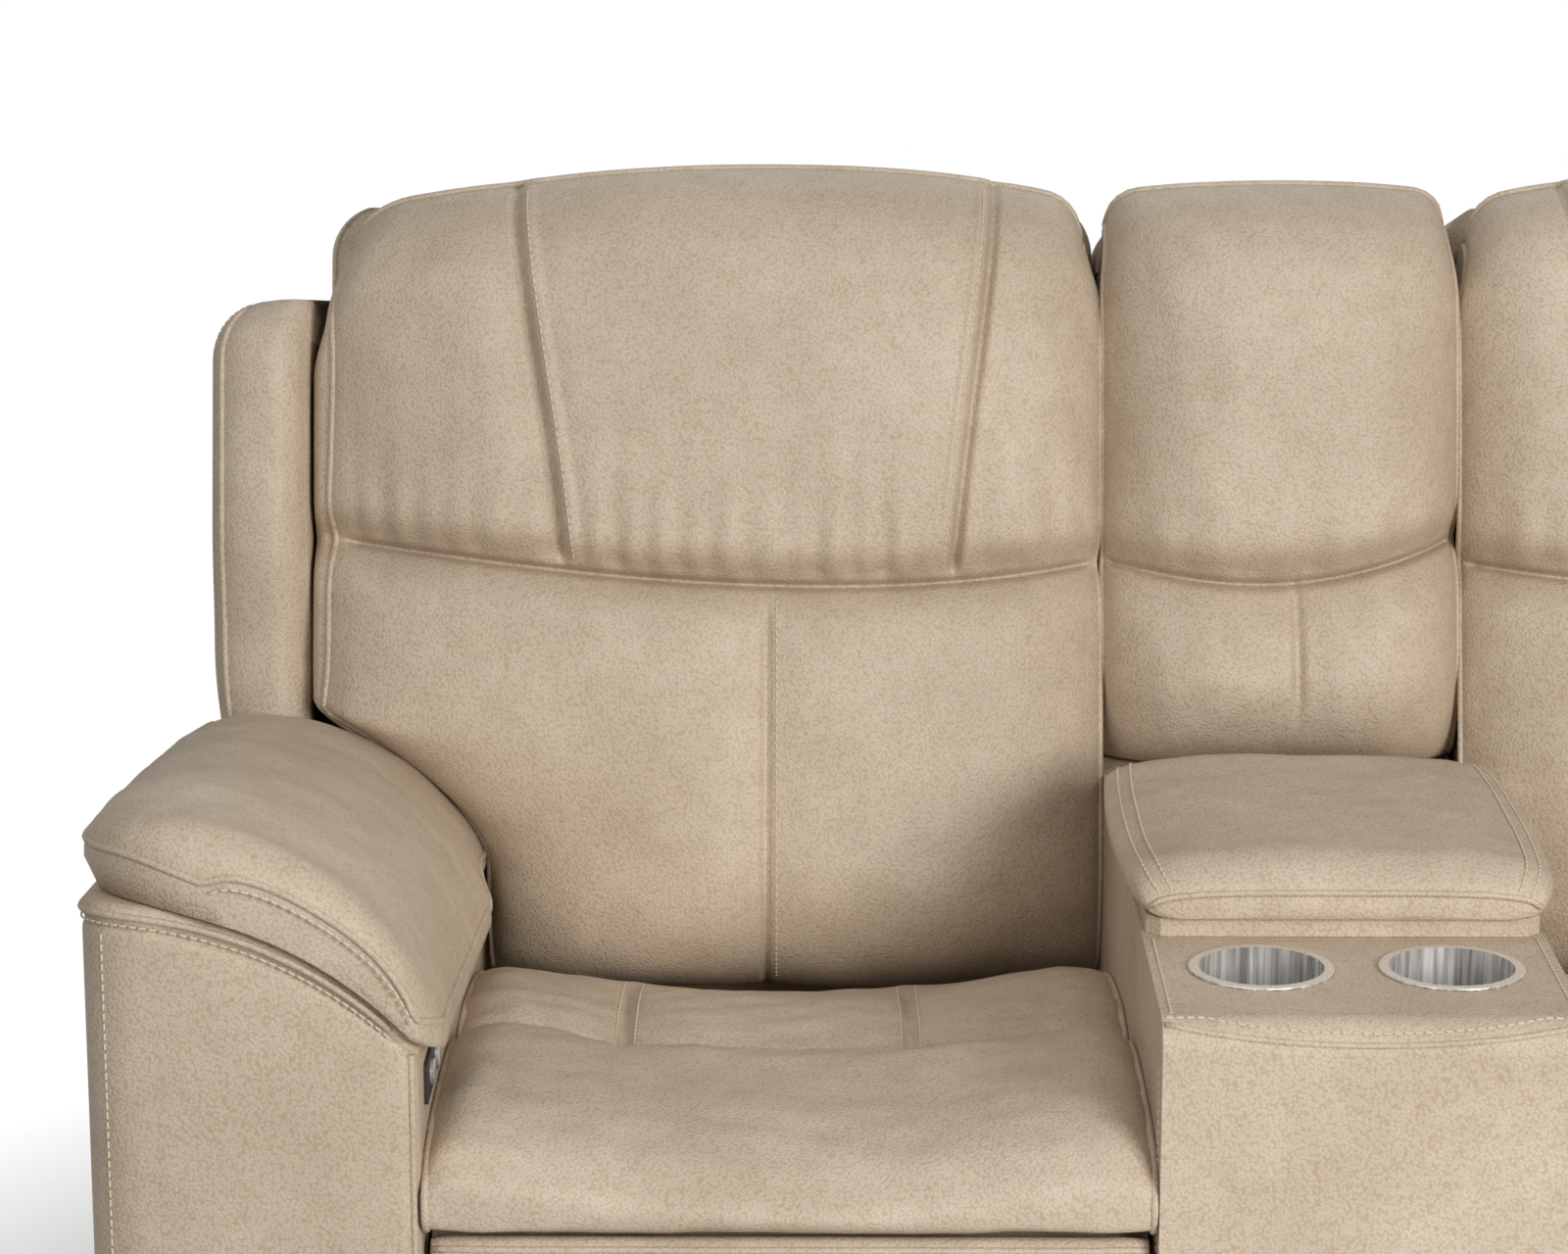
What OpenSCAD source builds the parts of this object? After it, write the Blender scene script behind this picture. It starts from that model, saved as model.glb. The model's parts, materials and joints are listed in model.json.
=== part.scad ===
// Power reclining loveseat with a centre console, upholstered in taupe leather.
// The front faces -Y, +X is the viewer's right and +Z is up. Lengths are in millimetres.

/* [Layout] */
// Width over both arms
overall_w = 1760; // [1600:10:2000]
// Width of each arm over its cover
arm_w = 230; // [190:5:260]
// Width of the centre console
console_w = 288; // [270:2:340]
// Front face of the arms and console, measured forward of the origin
front_y = 486; // [440:2:500]
// Height of the feet
foot_h = 45; // [30:5:70]
// Play between a soft part and its neighbour
gap = 3; // [2:0.5:6]

/* [Arms] */
// Height of the arm body at the crown of its top
arm_h = 654; // [640:2:660]
// Radius of the curve across the arm's top
arm_top_r = 285; // [270:5:320]
// Radius of the arm's outer front corner, seen from above
arm_corner_r = 140; // [110:5:150]
// Fall of the arm's top towards the back, in degrees
arm_fall = 6; // [4:0.5:7]
// Thickness of the arm pad
arm_pad_t = 54; // [46:2:60]
// Distance that the arm pad overhangs the seat
arm_pad_over = 16; // [10:2:30]
// Rear end of the arm's top, behind the origin
arm_end_y = 186; // [175:1:188]
// Padding between leather and arm frame
arm_padding = 10; // [7:1:14]

/* [Console] */
// Height of the console deck
deck_h = 575; // [560:5:580]
// Padding between leather and console box
console_padding = 9; // [7:1:12]
// Height of the lid's crown above the deck
lid_t = 66; // [56:2:72]
// Length of the lid from hinge to front edge
lid_len = 334; // [310:2:336]
// Place of the lid hinge behind the origin
lid_hinge_y = 48; // [44:1:52]
// Depth of the storage well
well_depth = 290; // [200:10:320]
// Radius of the cup holder's flange
cup_flange_r = 51; // [49:0.5:54]
// Inside radius of the cup holder
cup_r = 44; // [40:0.5:45]
// Depth of the cup holder
cup_depth = 66; // [50:2:80]
// Distance between the two cup holders
cup_pitch = 133; // [125:1:140]

/* [Seat] */
// Height of the seat cushion at its front edge
seat_h = 488; // [476:2:494]
// Height of the frame that carries the seat cushion
seat_deck_h = 378; // [372:1:382]
// Rear end of the seat cushion, behind the origin
seat_back_y = 52; // [40:2:60]

/* [Back] */
// Lean of the upright back, in degrees
lean = 13.5; // [12:0.5:14]
// Height of the back
back_h = 1060; // [1040:5:1090]
// Thickness of the back cushion at its fullest
back_cushion_t = 186; // [160:2:190]
// Thickness of the back frame
back_frame_t = 62; // [50:1:66]
// Thickness of the outer back's padding
back_shell_t = 45; // [36:1:46]
// Height of the top of the wing
wing_h = 930; // [910:2:950]
// Height of the seam between the lumbar and head sections
head_seam_h = 745; // [720:2:770]

/* [Recline] */
// Height of the recline pivot
recline_z = 350; // [346:1:352]
// Place of the recline pivot behind the origin
recline_y = 150; // [146:1:152]
// Reach of the recline crank below its pivot
crank_len = 80; // [74:1:84]
// Angle that the back leans through, in degrees
recline_deg = 35; // [25:1:35]

/* [Footrest] */
// Height of the footrest pivot
foot_pivot_z = 320; // [318:1:322]
// Place of the footrest pivot in front of the origin
foot_pivot_y = 330; // [326:1:332]
// Length of the footrest's drive and guide links
link_len = 234; // [226:1:236]
// Width of the link bars
link_w = 20; // [16:1:21]
// Thickness of the link bars
link_t = 4; // [3:0.5:4]
// Radius of the pivot pins
pin_r = 5; // [4:0.5:6]
// Running clearance round the pivot pins
pin_play = 0.1; // [0.05:0.01:0.1]
// Radius of the cross tubes that the drive pushes
tube_r = 10; // [8:0.5:11]
// Reach of the footrest crank
tube_reach = 40; // [38:1:42]
// Height of the footrest panel
footrest_h = 340; // [320:5:345]
// Height of the stowed footrest panel above the floor
footrest_lift = 76; // [74:1:80]
// Thickness of the footrest board
board_t = 15; // [12:1:16]
// Thickness of the footrest pad
footrest_pad_t = 34; // [24:1:36]

/* [Controls] */
// Travel of a push button
button_travel = 1.5; // [1:0.25:2]
// Radius of a push button
button_r = 9; // [7:0.5:10]

/* [Hidden] */

// Colours
leather = [0.62, 0.54, 0.44];
plywood = [0.72, 0.58, 0.40];
steel = [0.35, 0.36, 0.38];
stainless = [0.75, 0.75, 0.74];
black_plastic = [0.08, 0.08, 0.09];

// Derived places
seam = 0.3;                              // clearance between a soft solid and what carries it
half_w = overall_w / 2;
console_x = console_w / 2;
arm_out_x = half_w - 5;                  // outer face of the arm body
arm_in_x = half_w - arm_w - 4;           // inner face of the arm body
bay_in = console_x + gap;                // each seat lies between these two
bay_out = arm_in_x - gap;
bay_mid = (bay_in + bay_out) / 2;
base_z = foot_h + 6;                     // underside of the frame
ply = 16;
back_y = 215;                            // where the back's frame plane crosses back_z
back_z = 330;
rear_y = 385;                            // inner face of the rear panel
rear_t = 14;
back_shell_n = back_frame_t + back_shell_t;
back_top = (back_h - back_z) / cos(lean);
wing_v = (wing_h - back_z) / cos(lean);      // top and foot of the wing along the lean
wing_v0 = 52;
panel_in_x = arm_out_x - 17;             // inner face of the arm's rear quarter

// Layers of the linkage, counted from the outer side of the bay
plate_s = 3;
guide_s = plate_s + link_t + 1;
carry_s = guide_s + link_t + 1;
drive_s = carry_s + link_t + 1;

// Pivots of the footrest linkage as [forward, up] when it is stowed
link_a = -105;
p0 = [foot_pivot_y, foot_pivot_z];
p1 = p0 + link_len * [cos(link_a), sin(link_a)];
guide_off = 50 * [cos(205), sin(205)];
q0 = p0 + guide_off;
c1 = p1 + guide_off;
tilt_off = [0, 45];
d1 = p1 + tilt_off;
board_f = p0[0] + 108;                   // rear face of the stowed footrest board
p2 = [board_f - 13, footrest_lift + footrest_h / 2 + 3];
e2 = p2 + tilt_off;
tube_at = p0 + tube_reach * [cos(-135), sin(-135)];
crank_at = [-recline_y - crank_len * sin(recline_deg / 2),
    recline_z - crank_len * cos(recline_deg / 2)];
rail_z = 245;                            // middle of the drive rails

// Puts a part that is modelled on the right-hand side on either side
module on_side(side) {
    if (side == "left") mirror([1, 0, 0]) children();
    else children();
}

// Places the back's own frame: x across, y through the back, z along its lean
module in_back() {
    translate([0, back_y, back_z]) rotate([-lean, 0, 0]) children();
}
function back_v(z) = (z - back_z) / cos(lean);
// The recline pivot in the back's own frame
pivot_n = (recline_y - back_y) * cos(lean) - (recline_z - back_z) * sin(lean);
pivot_v = (recline_y - back_y) * sin(lean) + (recline_z - back_z) * cos(lean);

// Flat shape in [forward, up] coordinates, from x = s for a thickness t
module plate_at(s, t) {
    translate([s, 0, 0]) rotate([90, 0, -90]) mirror([0, 0, 1]) linear_extrude(t) children();
}
// Round bar across the bay at a [forward, up] point
module bar_at(p, s, t, r) {
    translate([s, -p[0], p[1]]) rotate([0, 90, 0]) cylinder(h = t, r = r, $fn = 48);
}
// Both sides of one seat's mechanism, whose inner half is modelled from s = 0 at the bay's side
module both_sides() {
    translate([bay_in, 0, 0]) children();
    translate([bay_out, 0, 0]) mirror([1, 0, 0]) children();
}
// Straight link bar between two points with round ends
module bar_2d(a, b, w) {
    d = b - a;
    translate(a) circle(d = w, $fn = 48);
    translate(b) circle(d = w, $fn = 48);
    translate(a) rotate(atan2(d[1], d[0])) translate([0, 0.1 - w / 2]) square([norm(d), w - 0.2]);
}
module hole_2d(p, r) {
    translate(p) circle(r = r, $fn = 48);
}

// Smooth step from 0 at a to 1 at b
function ramp(a, b, x) = let (t = max(0, min(1, (x - a) / (b - a)))) t * t * (3 - 2 * t);
// Bump of height 1 at c that fades out within w
function bump(c, w, x) = exp(-pow((x - c) / w, 2));
// Signed power, for superellipses
function spow(x, e) = sign(x) * pow(abs(x), e);
// Share of the full size at distance d into a rounded end of length r
function round_end(d, r) = d >= r ? 1 : sqrt(max(0, 1 - pow(1 - d / r, 2)));
function sum(v, i = 0) = i >= len(v) ? 0 : v[i] + sum(v, i + 1);

// Closed solid through rings of equal length, with a fan on each end
module skin(loops, flip = false) {
    n = len(loops);
    m = len(loops[0]);
    rings = flip ? [for (i = [n - 1:-1:0]) loops[i]] : loops;
    mid_a = [for (k = [0:2]) sum([for (p = rings[0]) p[k]]) / m];
    mid_b = [for (k = [0:2]) sum([for (p = rings[n - 1]) p[k]]) / m];
    points = concat([for (r = rings) each r], [mid_a, mid_b]);
    sides = [for (i = [0:n - 2], j = [0:m - 1], side = [0, 1])
        let (a = i * m + j, b = i * m + (j + 1) % m)
        side == 0 ? [a, b, b + m] : [a, b + m, a + m]];
    cap_a = [for (j = [0:m - 1]) [n * m, (j + 1) % m, j]];
    cap_b = [for (j = [0:m - 1]) [n * m + 1, (n - 1) * m + j, (n - 1) * m + (j + 1) % m]];
    polyhedron(points, concat(sides, cap_a, cap_b), convexity = 6);
}

// Frame, feet and rails

module feet() {
    color(black_plastic) for (side = [-1, 1]) {
        for (at = [[arm_in_x + 50, -front_y + 90], [arm_out_x - 60, 60], [arm_in_x + 60, 300],
            [console_x - 44, -front_y + 60], [console_x - 44, 290]])
            translate([side * at[0], at[1], 0]) foot();
    }
}
module foot() {
    cylinder(h = 4, r1 = 17, r2 = 19, $fn = 48);
    translate([0, 0, 4]) cylinder(h = foot_h - 4, r1 = 19, r2 = 25, $fn = 48);
    translate([0, 0, foot_h]) cylinder(h = 6, r = 28, $fn = 48);
}

module base_rails() {
    rear_len = 2 * (panel_in_x - 1);
    color(plywood) {
        translate([-rear_len / 2, rear_y - ply, base_z]) cube([rear_len, ply, 222]);
        for (side = ["left", "right"]) on_side(side) {
            translate([console_x, -140, base_z]) cube([arm_in_x - console_x, ply, 66]);
            translate([console_x, 210, base_z]) cube([arm_in_x - console_x, ply, 66]);
        }
    }
}

module rear_panel() {
    r = 6;
    color(leather) translate([0, rear_y, 0]) difference() {
        translate([-arm_out_x, 0, base_z + 2]) cube([2 * arm_out_x, rear_t, 236]);
        for (side = [-1, 1]) translate([side * arm_out_x, rear_t, 0]) rotate([0, 0, 45])
            cube([2 * r, 2 * r, 800], center = true);
        translate([0, rear_t, base_z + 238]) rotate([45, 0, 0]) cube([2000, 2 * r, 2 * r], center = true);
        for (x = [-console_x, console_x]) translate([x, rear_t, 0]) cube([2.4, 3, 800], center = true);
    }
}

// Arms

module arm_plan(d) {
    x0 = arm_in_x + d;
    x1 = arm_out_x - d;
    y0 = -front_y + d;
    r = arm_corner_r - d;
    r2 = 16;
    difference() {
        translate([x0, y0]) square([x1 - x0, 900]);
        difference() {
            translate([x1 - r, y0 - 1]) square([r + 1, r + 1]);
            translate([x1 - r, y0 + r]) circle(r = r, $fn = 96);
        }
        difference() {
            translate([x0 - 1, y0 - 1]) square([r2 + 1, r2 + 1]);
            translate([x0 + r2, y0 + r2]) circle(r = r2, $fn = 64);
        }
    }
}
arm_top_x = arm_out_x - 15;
function arm_top(x, y) = (arm_h - arm_top_r + sqrt(max(0, pow(arm_top_r, 2) - pow(x - arm_top_x, 2)))) / cos(arm_fall)
    - (y + front_y) * tan(arm_fall);
module arm_front(d) {
    intersection() {
        translate([arm_in_x - 1, 0]) square([arm_w + 4, 700]);
        union() {
            translate([arm_top_x, arm_h - arm_top_r]) circle(r = arm_top_r - d, $fn = 180);
            square([900, arm_h - arm_top_r]);
        }
    }
}
function arm_end(z) = arm_end_y - (arm_h - 2 - z) * tan(lean);
module arm_body(d, floor_z) {
    intersection() {
        translate([0, 0, floor_z]) linear_extrude(640) arm_plan(d);
        translate([0, -front_y, 0]) rotate([-arm_fall, 0, 0]) translate([0, 900, 0]) rotate([90, 0, 0])
            linear_extrude(1100) arm_front(d);
        rotate([90, 0, 90]) linear_extrude(1000) polygon([[-600, 0], [rear_y - ply - d, 0],
            [rear_y - ply - d, 222 - d], [arm_end(222) - d, 222 - d], [arm_end(720) - d, 720], [-600, 720]]);
    }
}
module arm_rear_quarter(x0, x1, d) {
    translate([x0, 0, 0]) rotate([90, 0, 90]) linear_extrude(x1 - x0)
        polygon([[-60, base_z], [rear_y - d, base_z], [rear_y - d, 290 - d], [arm_end(478) - d, 472 - d],
            [-60, 472 - d]]);
}

module arm_frame(side) {
    p = arm_padding;
    color(plywood) on_side(side) {
        difference() {
            arm_body(p, base_z);
            arm_body(p + ply, base_z + ply);
            // windows that lighten the boards
            for (y = [-330, -130]) translate([arm_in_x + 60, y, 160]) cube([400, 130, 250]);
            translate([arm_in_x + 60, 80, 90]) cube([400, 190, 90]);
        }
        translate([arm_in_x + p + ply, -40, base_z + ply]) cube([arm_w - 2 * p - 2 * ply - 1, ply, 420]);
        arm_rear_quarter(panel_in_x, panel_in_x + 7, 2);
    }
}

module arm_cover(side) {
    color(leather) on_side(side) difference() {
        union() {
            difference() {
                arm_body(0, base_z);
                arm_body(arm_padding, base_z - 1);
            }
            arm_rear_quarter(panel_in_x + 7, arm_out_x, 0);
        }
        // inside of the outer wall where the frame's rear board passes
        translate([0, 0, base_z]) intersection() {
            translate([panel_in_x - 1, -61, -1]) cube([8, 440, 500]);
            translate([0, 0, -base_z]) arm_rear_quarter(panel_in_x - 1, panel_in_x + 7, 2);
        }
        // seam below the pad and seam down the front corner
        translate([arm_in_x - 10, -front_y - 1, 0]) rotate([0, 0, 0]) seam_band();
    }
}
// Shallow groove that follows the top of the arm's front panel
module seam_band() {
    translate([-(arm_in_x - 10), 3.2, 0]) rotate([90, 0, 0]) linear_extrude(3.2) difference() {
        translate([arm_top_x, arm_h - arm_top_r]) circle(r = arm_top_r - 7, $fn = 180);
        translate([arm_top_x, arm_h - arm_top_r]) circle(r = arm_top_r - 10, $fn = 180);
        translate([-1000, -1000]) square([3000, 1000 + arm_h - arm_top_r]);
    }
}

// The pad lies on the arm's curved top and hangs over its inner edge
module arm_pad(side) {
    y0 = -front_y - 9.7;
    y1 = arm_end_y - 10;
    ys = [0, 5, 14, 30, 55, 90, 130, 180, 260, 350, 440, 480, 500, 520, 545, 570, 590, 630, 655, 670, 676];
    len_y = y1 - y0;
    rings = [for (s = ys)
        let (y = y0 + s / 676 * len_y,
            k = 0.35 + 0.65 * round_end(s + 2, 34),
            e = 0.45 + 0.55 * round_end(676 - s + 4, 40),
            tip = front_y + y + 10,
            xo = min(half_w - 1, arm_out_x - arm_corner_r + 6 + sqrt(max(0, pow(arm_corner_r, 2)
                - pow(max(0, arm_corner_r - tip), 2)))) - 10 * ramp(560, 676, s),
            xi = arm_in_x - arm_pad_over * (1 - 0.95 * ramp(480, 590, s)) + 26 * (1 - round_end(s + 3, 60)),
            xm = (xi + xo) / 2,
            hw = (xo - xi) / 2,
            h = arm_pad_t * min(k, e) * (1 + 0.12 * bump(120, 160, s) - 0.42 * ramp(280, 676, s)),
            under = function (x) arm_top(min(x, arm_out_x), y) + 2.5 * seam)
        concat([for (a = [0:15:180])
            let (x = xm + hw * spow(cos(a), 0.62), band = min(0.85 * h, 20 - 11 * ramp(60, 170, a)),
                up = band + (h - band) * spow(sin(a), 0.72) + 5 * sin(a))
            [x, y + 0.2 * up * ramp(500, 676, s), under(x) + up]],
            [for (q = [-6:6]) let (x = xm + hw * q * 0.155) [x, y, under(x)]])];
    color(leather) on_side(side) skin(rings);
}

// Console

module console_side(d) {
    y0 = -front_y + d;
    y1 = rear_y - ply - d;
    slope = tan(lean);
    r = 22 - d;
    difference() {
        polygon([[y0, base_z], [y1, base_z], [y1, 300 - d], [back_y + (300 - d - back_z) * slope - d, 300 - d],
            [back_y + (deck_h - d - back_z) * slope - d, deck_h - d], [y0, deck_h - d]]);
        difference() {
            translate([y0 - 1, deck_h - d - r]) square([r + 1, r + 1]);
            translate([y0 + r, deck_h - d - r]) circle(r = r, $fn = 64);
        }
    }
}
module console_body(d) {
    w = 2 * (console_x - d);
    translate([-w / 2, 0, 0]) rotate([90, 0, 90]) linear_extrude(w) console_side(d);
}
well_x = console_x - console_padding - ply;
well_y0 = lid_hinge_y - lid_len + 26;
well_y1 = lid_hinge_y - 26;
cup_y = well_y0 - 26 - 17 - cup_flange_r - 8;
module cup_holes(r) {
    for (side = [-1, 1]) translate([side * cup_pitch / 2, cup_y, deck_h - 100]) cylinder(h = 140, r = r, $fn = 96);
}
module console_box() {
    p = console_padding;
    w = 2 * (console_x - p);
    color(plywood) {
        difference() {
            console_body(p);
            // storage well
            translate([-well_x, well_y0, deck_h - well_depth]) cube([2 * well_x, well_y1 - well_y0, 400]);
            // space for the cup holders
            translate([-well_x, -front_y + p + ply, base_z + ply])
                cube([2 * well_x, well_y0 - ply + front_y - p - ply, deck_h - p - 2 * ply - base_z]);
            // space below the well, and behind it
            translate([-well_x, well_y0, base_z + ply])
                cube([2 * well_x, well_y1 - well_y0, deck_h - well_depth - 2 * ply - base_z]);
            translate([-well_x, well_y1 + ply, base_z + ply]) cube([2 * well_x, 150, 400 - base_z]);
            cup_holes(cup_r + 2.5);
            // ways in from below for the fixings
            for (y = [-front_y + 110, -60]) translate([0, y, 0]) cylinder(h = 140, r = 30, $fn = 48);
        }
    }
}
module console_cover() {
    color(leather) difference() {
        console_body(0);
        translate([0, 0, -1]) console_body(console_padding);
        translate([0, 0, 0]) console_body(console_padding);
        translate([-well_x, well_y0, deck_h - 30]) cube([2 * well_x, well_y1 - well_y0, 60]);
        cup_holes(cup_r + 2.5);
        // stitched seam across the front and down both front corners
        translate([0, -front_y + 4, deck_h - 15 + 870]) rotate([90, 0, 0]) linear_extrude(10) difference() {
            circle(r = 871.2, $fn = 360);
            circle(r = 868.8, $fn = 360);
            translate([-1000, -500]) square([2000, 2000]);
        }
        for (side = [-1, 1]) translate([side * console_x, -front_y + 26, base_z + 200])
            cube([3, 2.4, 560], center = true);
    }
}
module cup_holder(side) {
    x = (side == "left" ? -1 : 1) * cup_pitch / 2;
    t = 1.6;
    color(stainless) translate([x, cup_y, deck_h]) rotate_extrude($fn = 120) difference() {
        union() {
            translate([0, -cup_depth]) square([cup_r + t, cup_depth + 1]);
            square([cup_flange_r - 1, 2.2]);
            translate([cup_flange_r - 1.1, 1.1]) circle(r = 1.1, $fn = 32);
        }
        translate([0, -cup_depth + t]) square([cup_r, cup_depth + 10]);
    }
}

hinge_z = deck_h + 5;
knuckle_r = 4.4;
module hinge_axis(x, t, r) {
    translate([x, lid_hinge_y, hinge_z]) rotate([0, 90, 0]) cylinder(h = t, r = r, $fn = 40);
}
module lid_hinge_fixed_leaf() {
    color(steel) {
        difference() {
            translate([-110, lid_hinge_y, deck_h]) cube([220, 34, 2]);
            for (x = [-90, -30, 30, 90]) translate([x, lid_hinge_y + 22, deck_h - 1]) cylinder(h = 4, r = 2.2, $fn = 24);
            for (x = [-88, -44, 0, 44]) translate([x, lid_hinge_y - 6, deck_h - 1]) cube([22, 12, 8]);
        }
        for (x = [-110, -66, -22, 22, 66]) intersection() {
            union() {
                hinge_axis(x + 0.5, 21, knuckle_r);
                translate([x + 0.5, lid_hinge_y - 1, deck_h]) cube([21, 5.4, 5]);
            }
            translate([x, lid_hinge_y - 20, deck_h]) cube([23, 60, 40]);
        }
        hinge_axis(-110, 220, 1.9);
    }
}
module lid_hinge_moving_leaf() {
    color(steel) difference() {
        union() {
            translate([-110, lid_hinge_y - 7, deck_h + 2.3]) cube([220, 2, 10.7]);
            for (x = [-88, -44, 0, 44]) {
                hinge_axis(x + 0.5, 21, knuckle_r);
                translate([x + 0.5, lid_hinge_y - 5.5, hinge_z + 0.4]) cube([21, 5.5, 4]);
            }
        }
        hinge_axis(-200, 400, 2);
        for (x = [-110, -66, -22, 22, 66]) hinge_axis(x, 22, knuckle_r + 0.8);
        for (x = [-99, 11, 99]) translate([x, lid_hinge_y - 8, deck_h + 9]) rotate([-90, 0, 0])
            cylinder(h = 4, r = 1.6, $fn = 24);
    }
}
module lid_board() {
    x = console_x - 3;
    y0 = lid_hinge_y - lid_len;
    color(plywood) difference() {
        translate([-x, y0, deck_h + seam]) cube([2 * x, lid_len - 7.3, 13.7]);
        for (side = [-1, 1]) translate([side * x, y0, deck_h]) rotate([0, 0, 45])
            cube([14, 14, 60], center = true);
        // relief over the cup holder flanges' side and the hinge screws
        translate([-well_x + 20, y0 + 30, deck_h - 1]) cube([2 * well_x - 40, lid_len - 90, 5]);
    }
}
module lid_pad() {
    z0 = deck_h + 14 + 2 * seam;
    m = 24;
    y0 = lid_hinge_y - lid_len - 6;
    y1 = lid_hinge_y + 1;
    ts = [0, 0.012, 0.04, 0.09, 0.18, 0.34, 0.5, 0.66, 0.82, 0.91, 0.965, 1];
    rings = [for (t = ts)
        let (y = y0 + t * (y1 - y0),
            d = min(t, 1 - t) * (y1 - y0),
            k = 0.28 + 0.72 * round_end(d + 2, t < 0.5 ? 42 : 58),
            hw = (console_x + 6 + 8 * (1 - pow(2 * t - 1, 2))) * (0.9 + 0.1 * round_end(d + 2, 40)),
            h = (lid_t - 14) * k)
        [for (j = [0:m - 1])
            let (a = j * 360 / m)
            [hw * spow(cos(a), 0.5), y, max(z0, z0 + h * 0.42 + h * 0.58 * spow(sin(a), 0.8))]]];
    color(leather) skin(rings);
}

// Backs

// Padded back section in the back's own frame, narrower below the arms by the amount cut. Its front follows three seams: a level one
// between lumbar and head sections, and an upright one in each section.
module back_pad(x0, x_wide, cut, v0, v1, t0, vs, xs, flap_a, flap_b) {
    us = [-1, -0.985, -0.93, -0.8, -0.62, -0.42, -0.24, -0.1, -0.03, 0, 0.03, 0.1, 0.24, 0.42, 0.62, 0.8,
        0.93, 0.985, 1];
    low = cut > 0 ? [0, 0.035, 0.12, 0.28, 0.42, 0.5, 0.56, 0.61, 0.645, 0.665, 0.8, 0.94]
        : [0, 0.035, 0.12, 0.3, 0.55, 0.78, 0.94];
    high = [0, 0.045, 0.14, 0.32, 0.54, 0.74, 0.88, 0.96, 1];
    ss = concat(low, [for (h = high) 1 + h]);
    rings = [for (s = ss)
        let (x1 = x_wide - cut * (1 - pow(max(0, min(1, (s - 0.38) / 0.285)), 2.6)),
            xm = (x0 + x1) / 2,
            hw = (x1 - x0) / 2,
            shift = (xs - xm) / hw,
            front = [for (u0 = us)
            let (u = u0 + shift * (1 - u0 * u0),
                vseam = vs - 13 + 30 * u0 * u0 + 9 * u0,
                top = v1 - 20 * u0 * u0 - 20 * (1 - round_end(1 - abs(u0), 0.13)),
                v = s <= 1 ? v0 + s * (vseam - v0) : vseam + (s - 1) * (top - vseam),
                dv = abs(v - vseam),
                ends = (0.42 + 0.58 * round_end(v - v0 + 3, 60)) * (0.3 + 0.7 * round_end(top - v + 3, 90)),
                swell = t0 - 0.043 * v + (s < 1 ? 6 : 8) * sin(180 * (s < 1 ? s : s - 1)),
                across = 0.56 + 0.44 * pow(max(0, 1 - pow(abs(u0), 3.2)), 0.7),
                x = xm + hw * u * (0.997 - 0.035 * ramp(1.75, 2, s) - 0.012 * bump(1, 0.08, s)),
                tuck = 30 * exp(-pow(dv / 16, 2)) + (s < 1 ? 9 * bump(xs, 9, x)
                    : 5 * bump(flap_a[0] + (flap_a[1] - flap_a[0]) * (s - 1), 16, x)
                    + 5 * bump(flap_b[0] + (flap_b[1] - flap_b[0]) * (s - 1), 16, x)),
                t = max(20, swell * ends * across - tuck),
                lift = t * tan(lean) * (1 - ramp(0, 0.3, s)))
            [x, -t, v - lift]])
        concat(front, [for (k = [3, 2, 1, 0, -1, -2, -3])
            let (f = front[0], g = front[len(front) - 1])
            [xm + (g[0] - f[0]) / 2 * k / 3.2, -seam, (f[2] + g[2]) / 2
                + (f[1] + g[1]) / -2 * tan(lean) * (1 - ramp(0, 0.3, s))]])];
    in_back() skin(rings, true);
}

seat_back_v0 = 74;
module back_cushion(side) {
    color(leather) on_side(side) back_pad(bay_in, half_w - 92, half_w - 91 - bay_out, seat_back_v0, back_top - 28,
        back_cushion_t + 12, back_v(head_seam_h) - 36, bay_mid + 22, [275, 233], [573, 613]);
}

// Wooden frame of a seat's back, with a narrower lower part between the arms
module back_frame(side) {
    x0 = bay_in + guide_s + link_t;
    xl = bay_out - guide_s - link_t;
    x1 = panel_in_x - 10;
    w = 60;
    color(plywood) on_side(side) in_back() difference() {
        union() {
            cube_at([x0, 0, 24], [xl, back_frame_t, back_top - 100]);
            cube_at([x0, 0, wing_v0 + 6], [x1, back_frame_t, wing_v - 40]);
        }
        for (v = [[84, 290], [350, 560]]) for (x = [[x0 + w, bay_mid - 12], [bay_mid + 12, xl - w]])
            cube_at([x[0], -1, v[0]], [x[1], back_frame_t + 1, v[1]]);
        cube_at([bay_out + 24, -1, 150], [x1 - 44, back_frame_t + 1, wing_v - 100]);
        // slot for the outer bracket
        cube_at([xl - seam, -1, 0], [xl + link_t + seam, 46, 204]);
        for (x = [x0, xl]) translate([x, 0, back_top - 100]) rotate([0, 45, 0])
            cube([50, 400, 50], center = true);
    }
}
module cube_at(a, b) {
    translate(a) cube(b - a);
}

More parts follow.
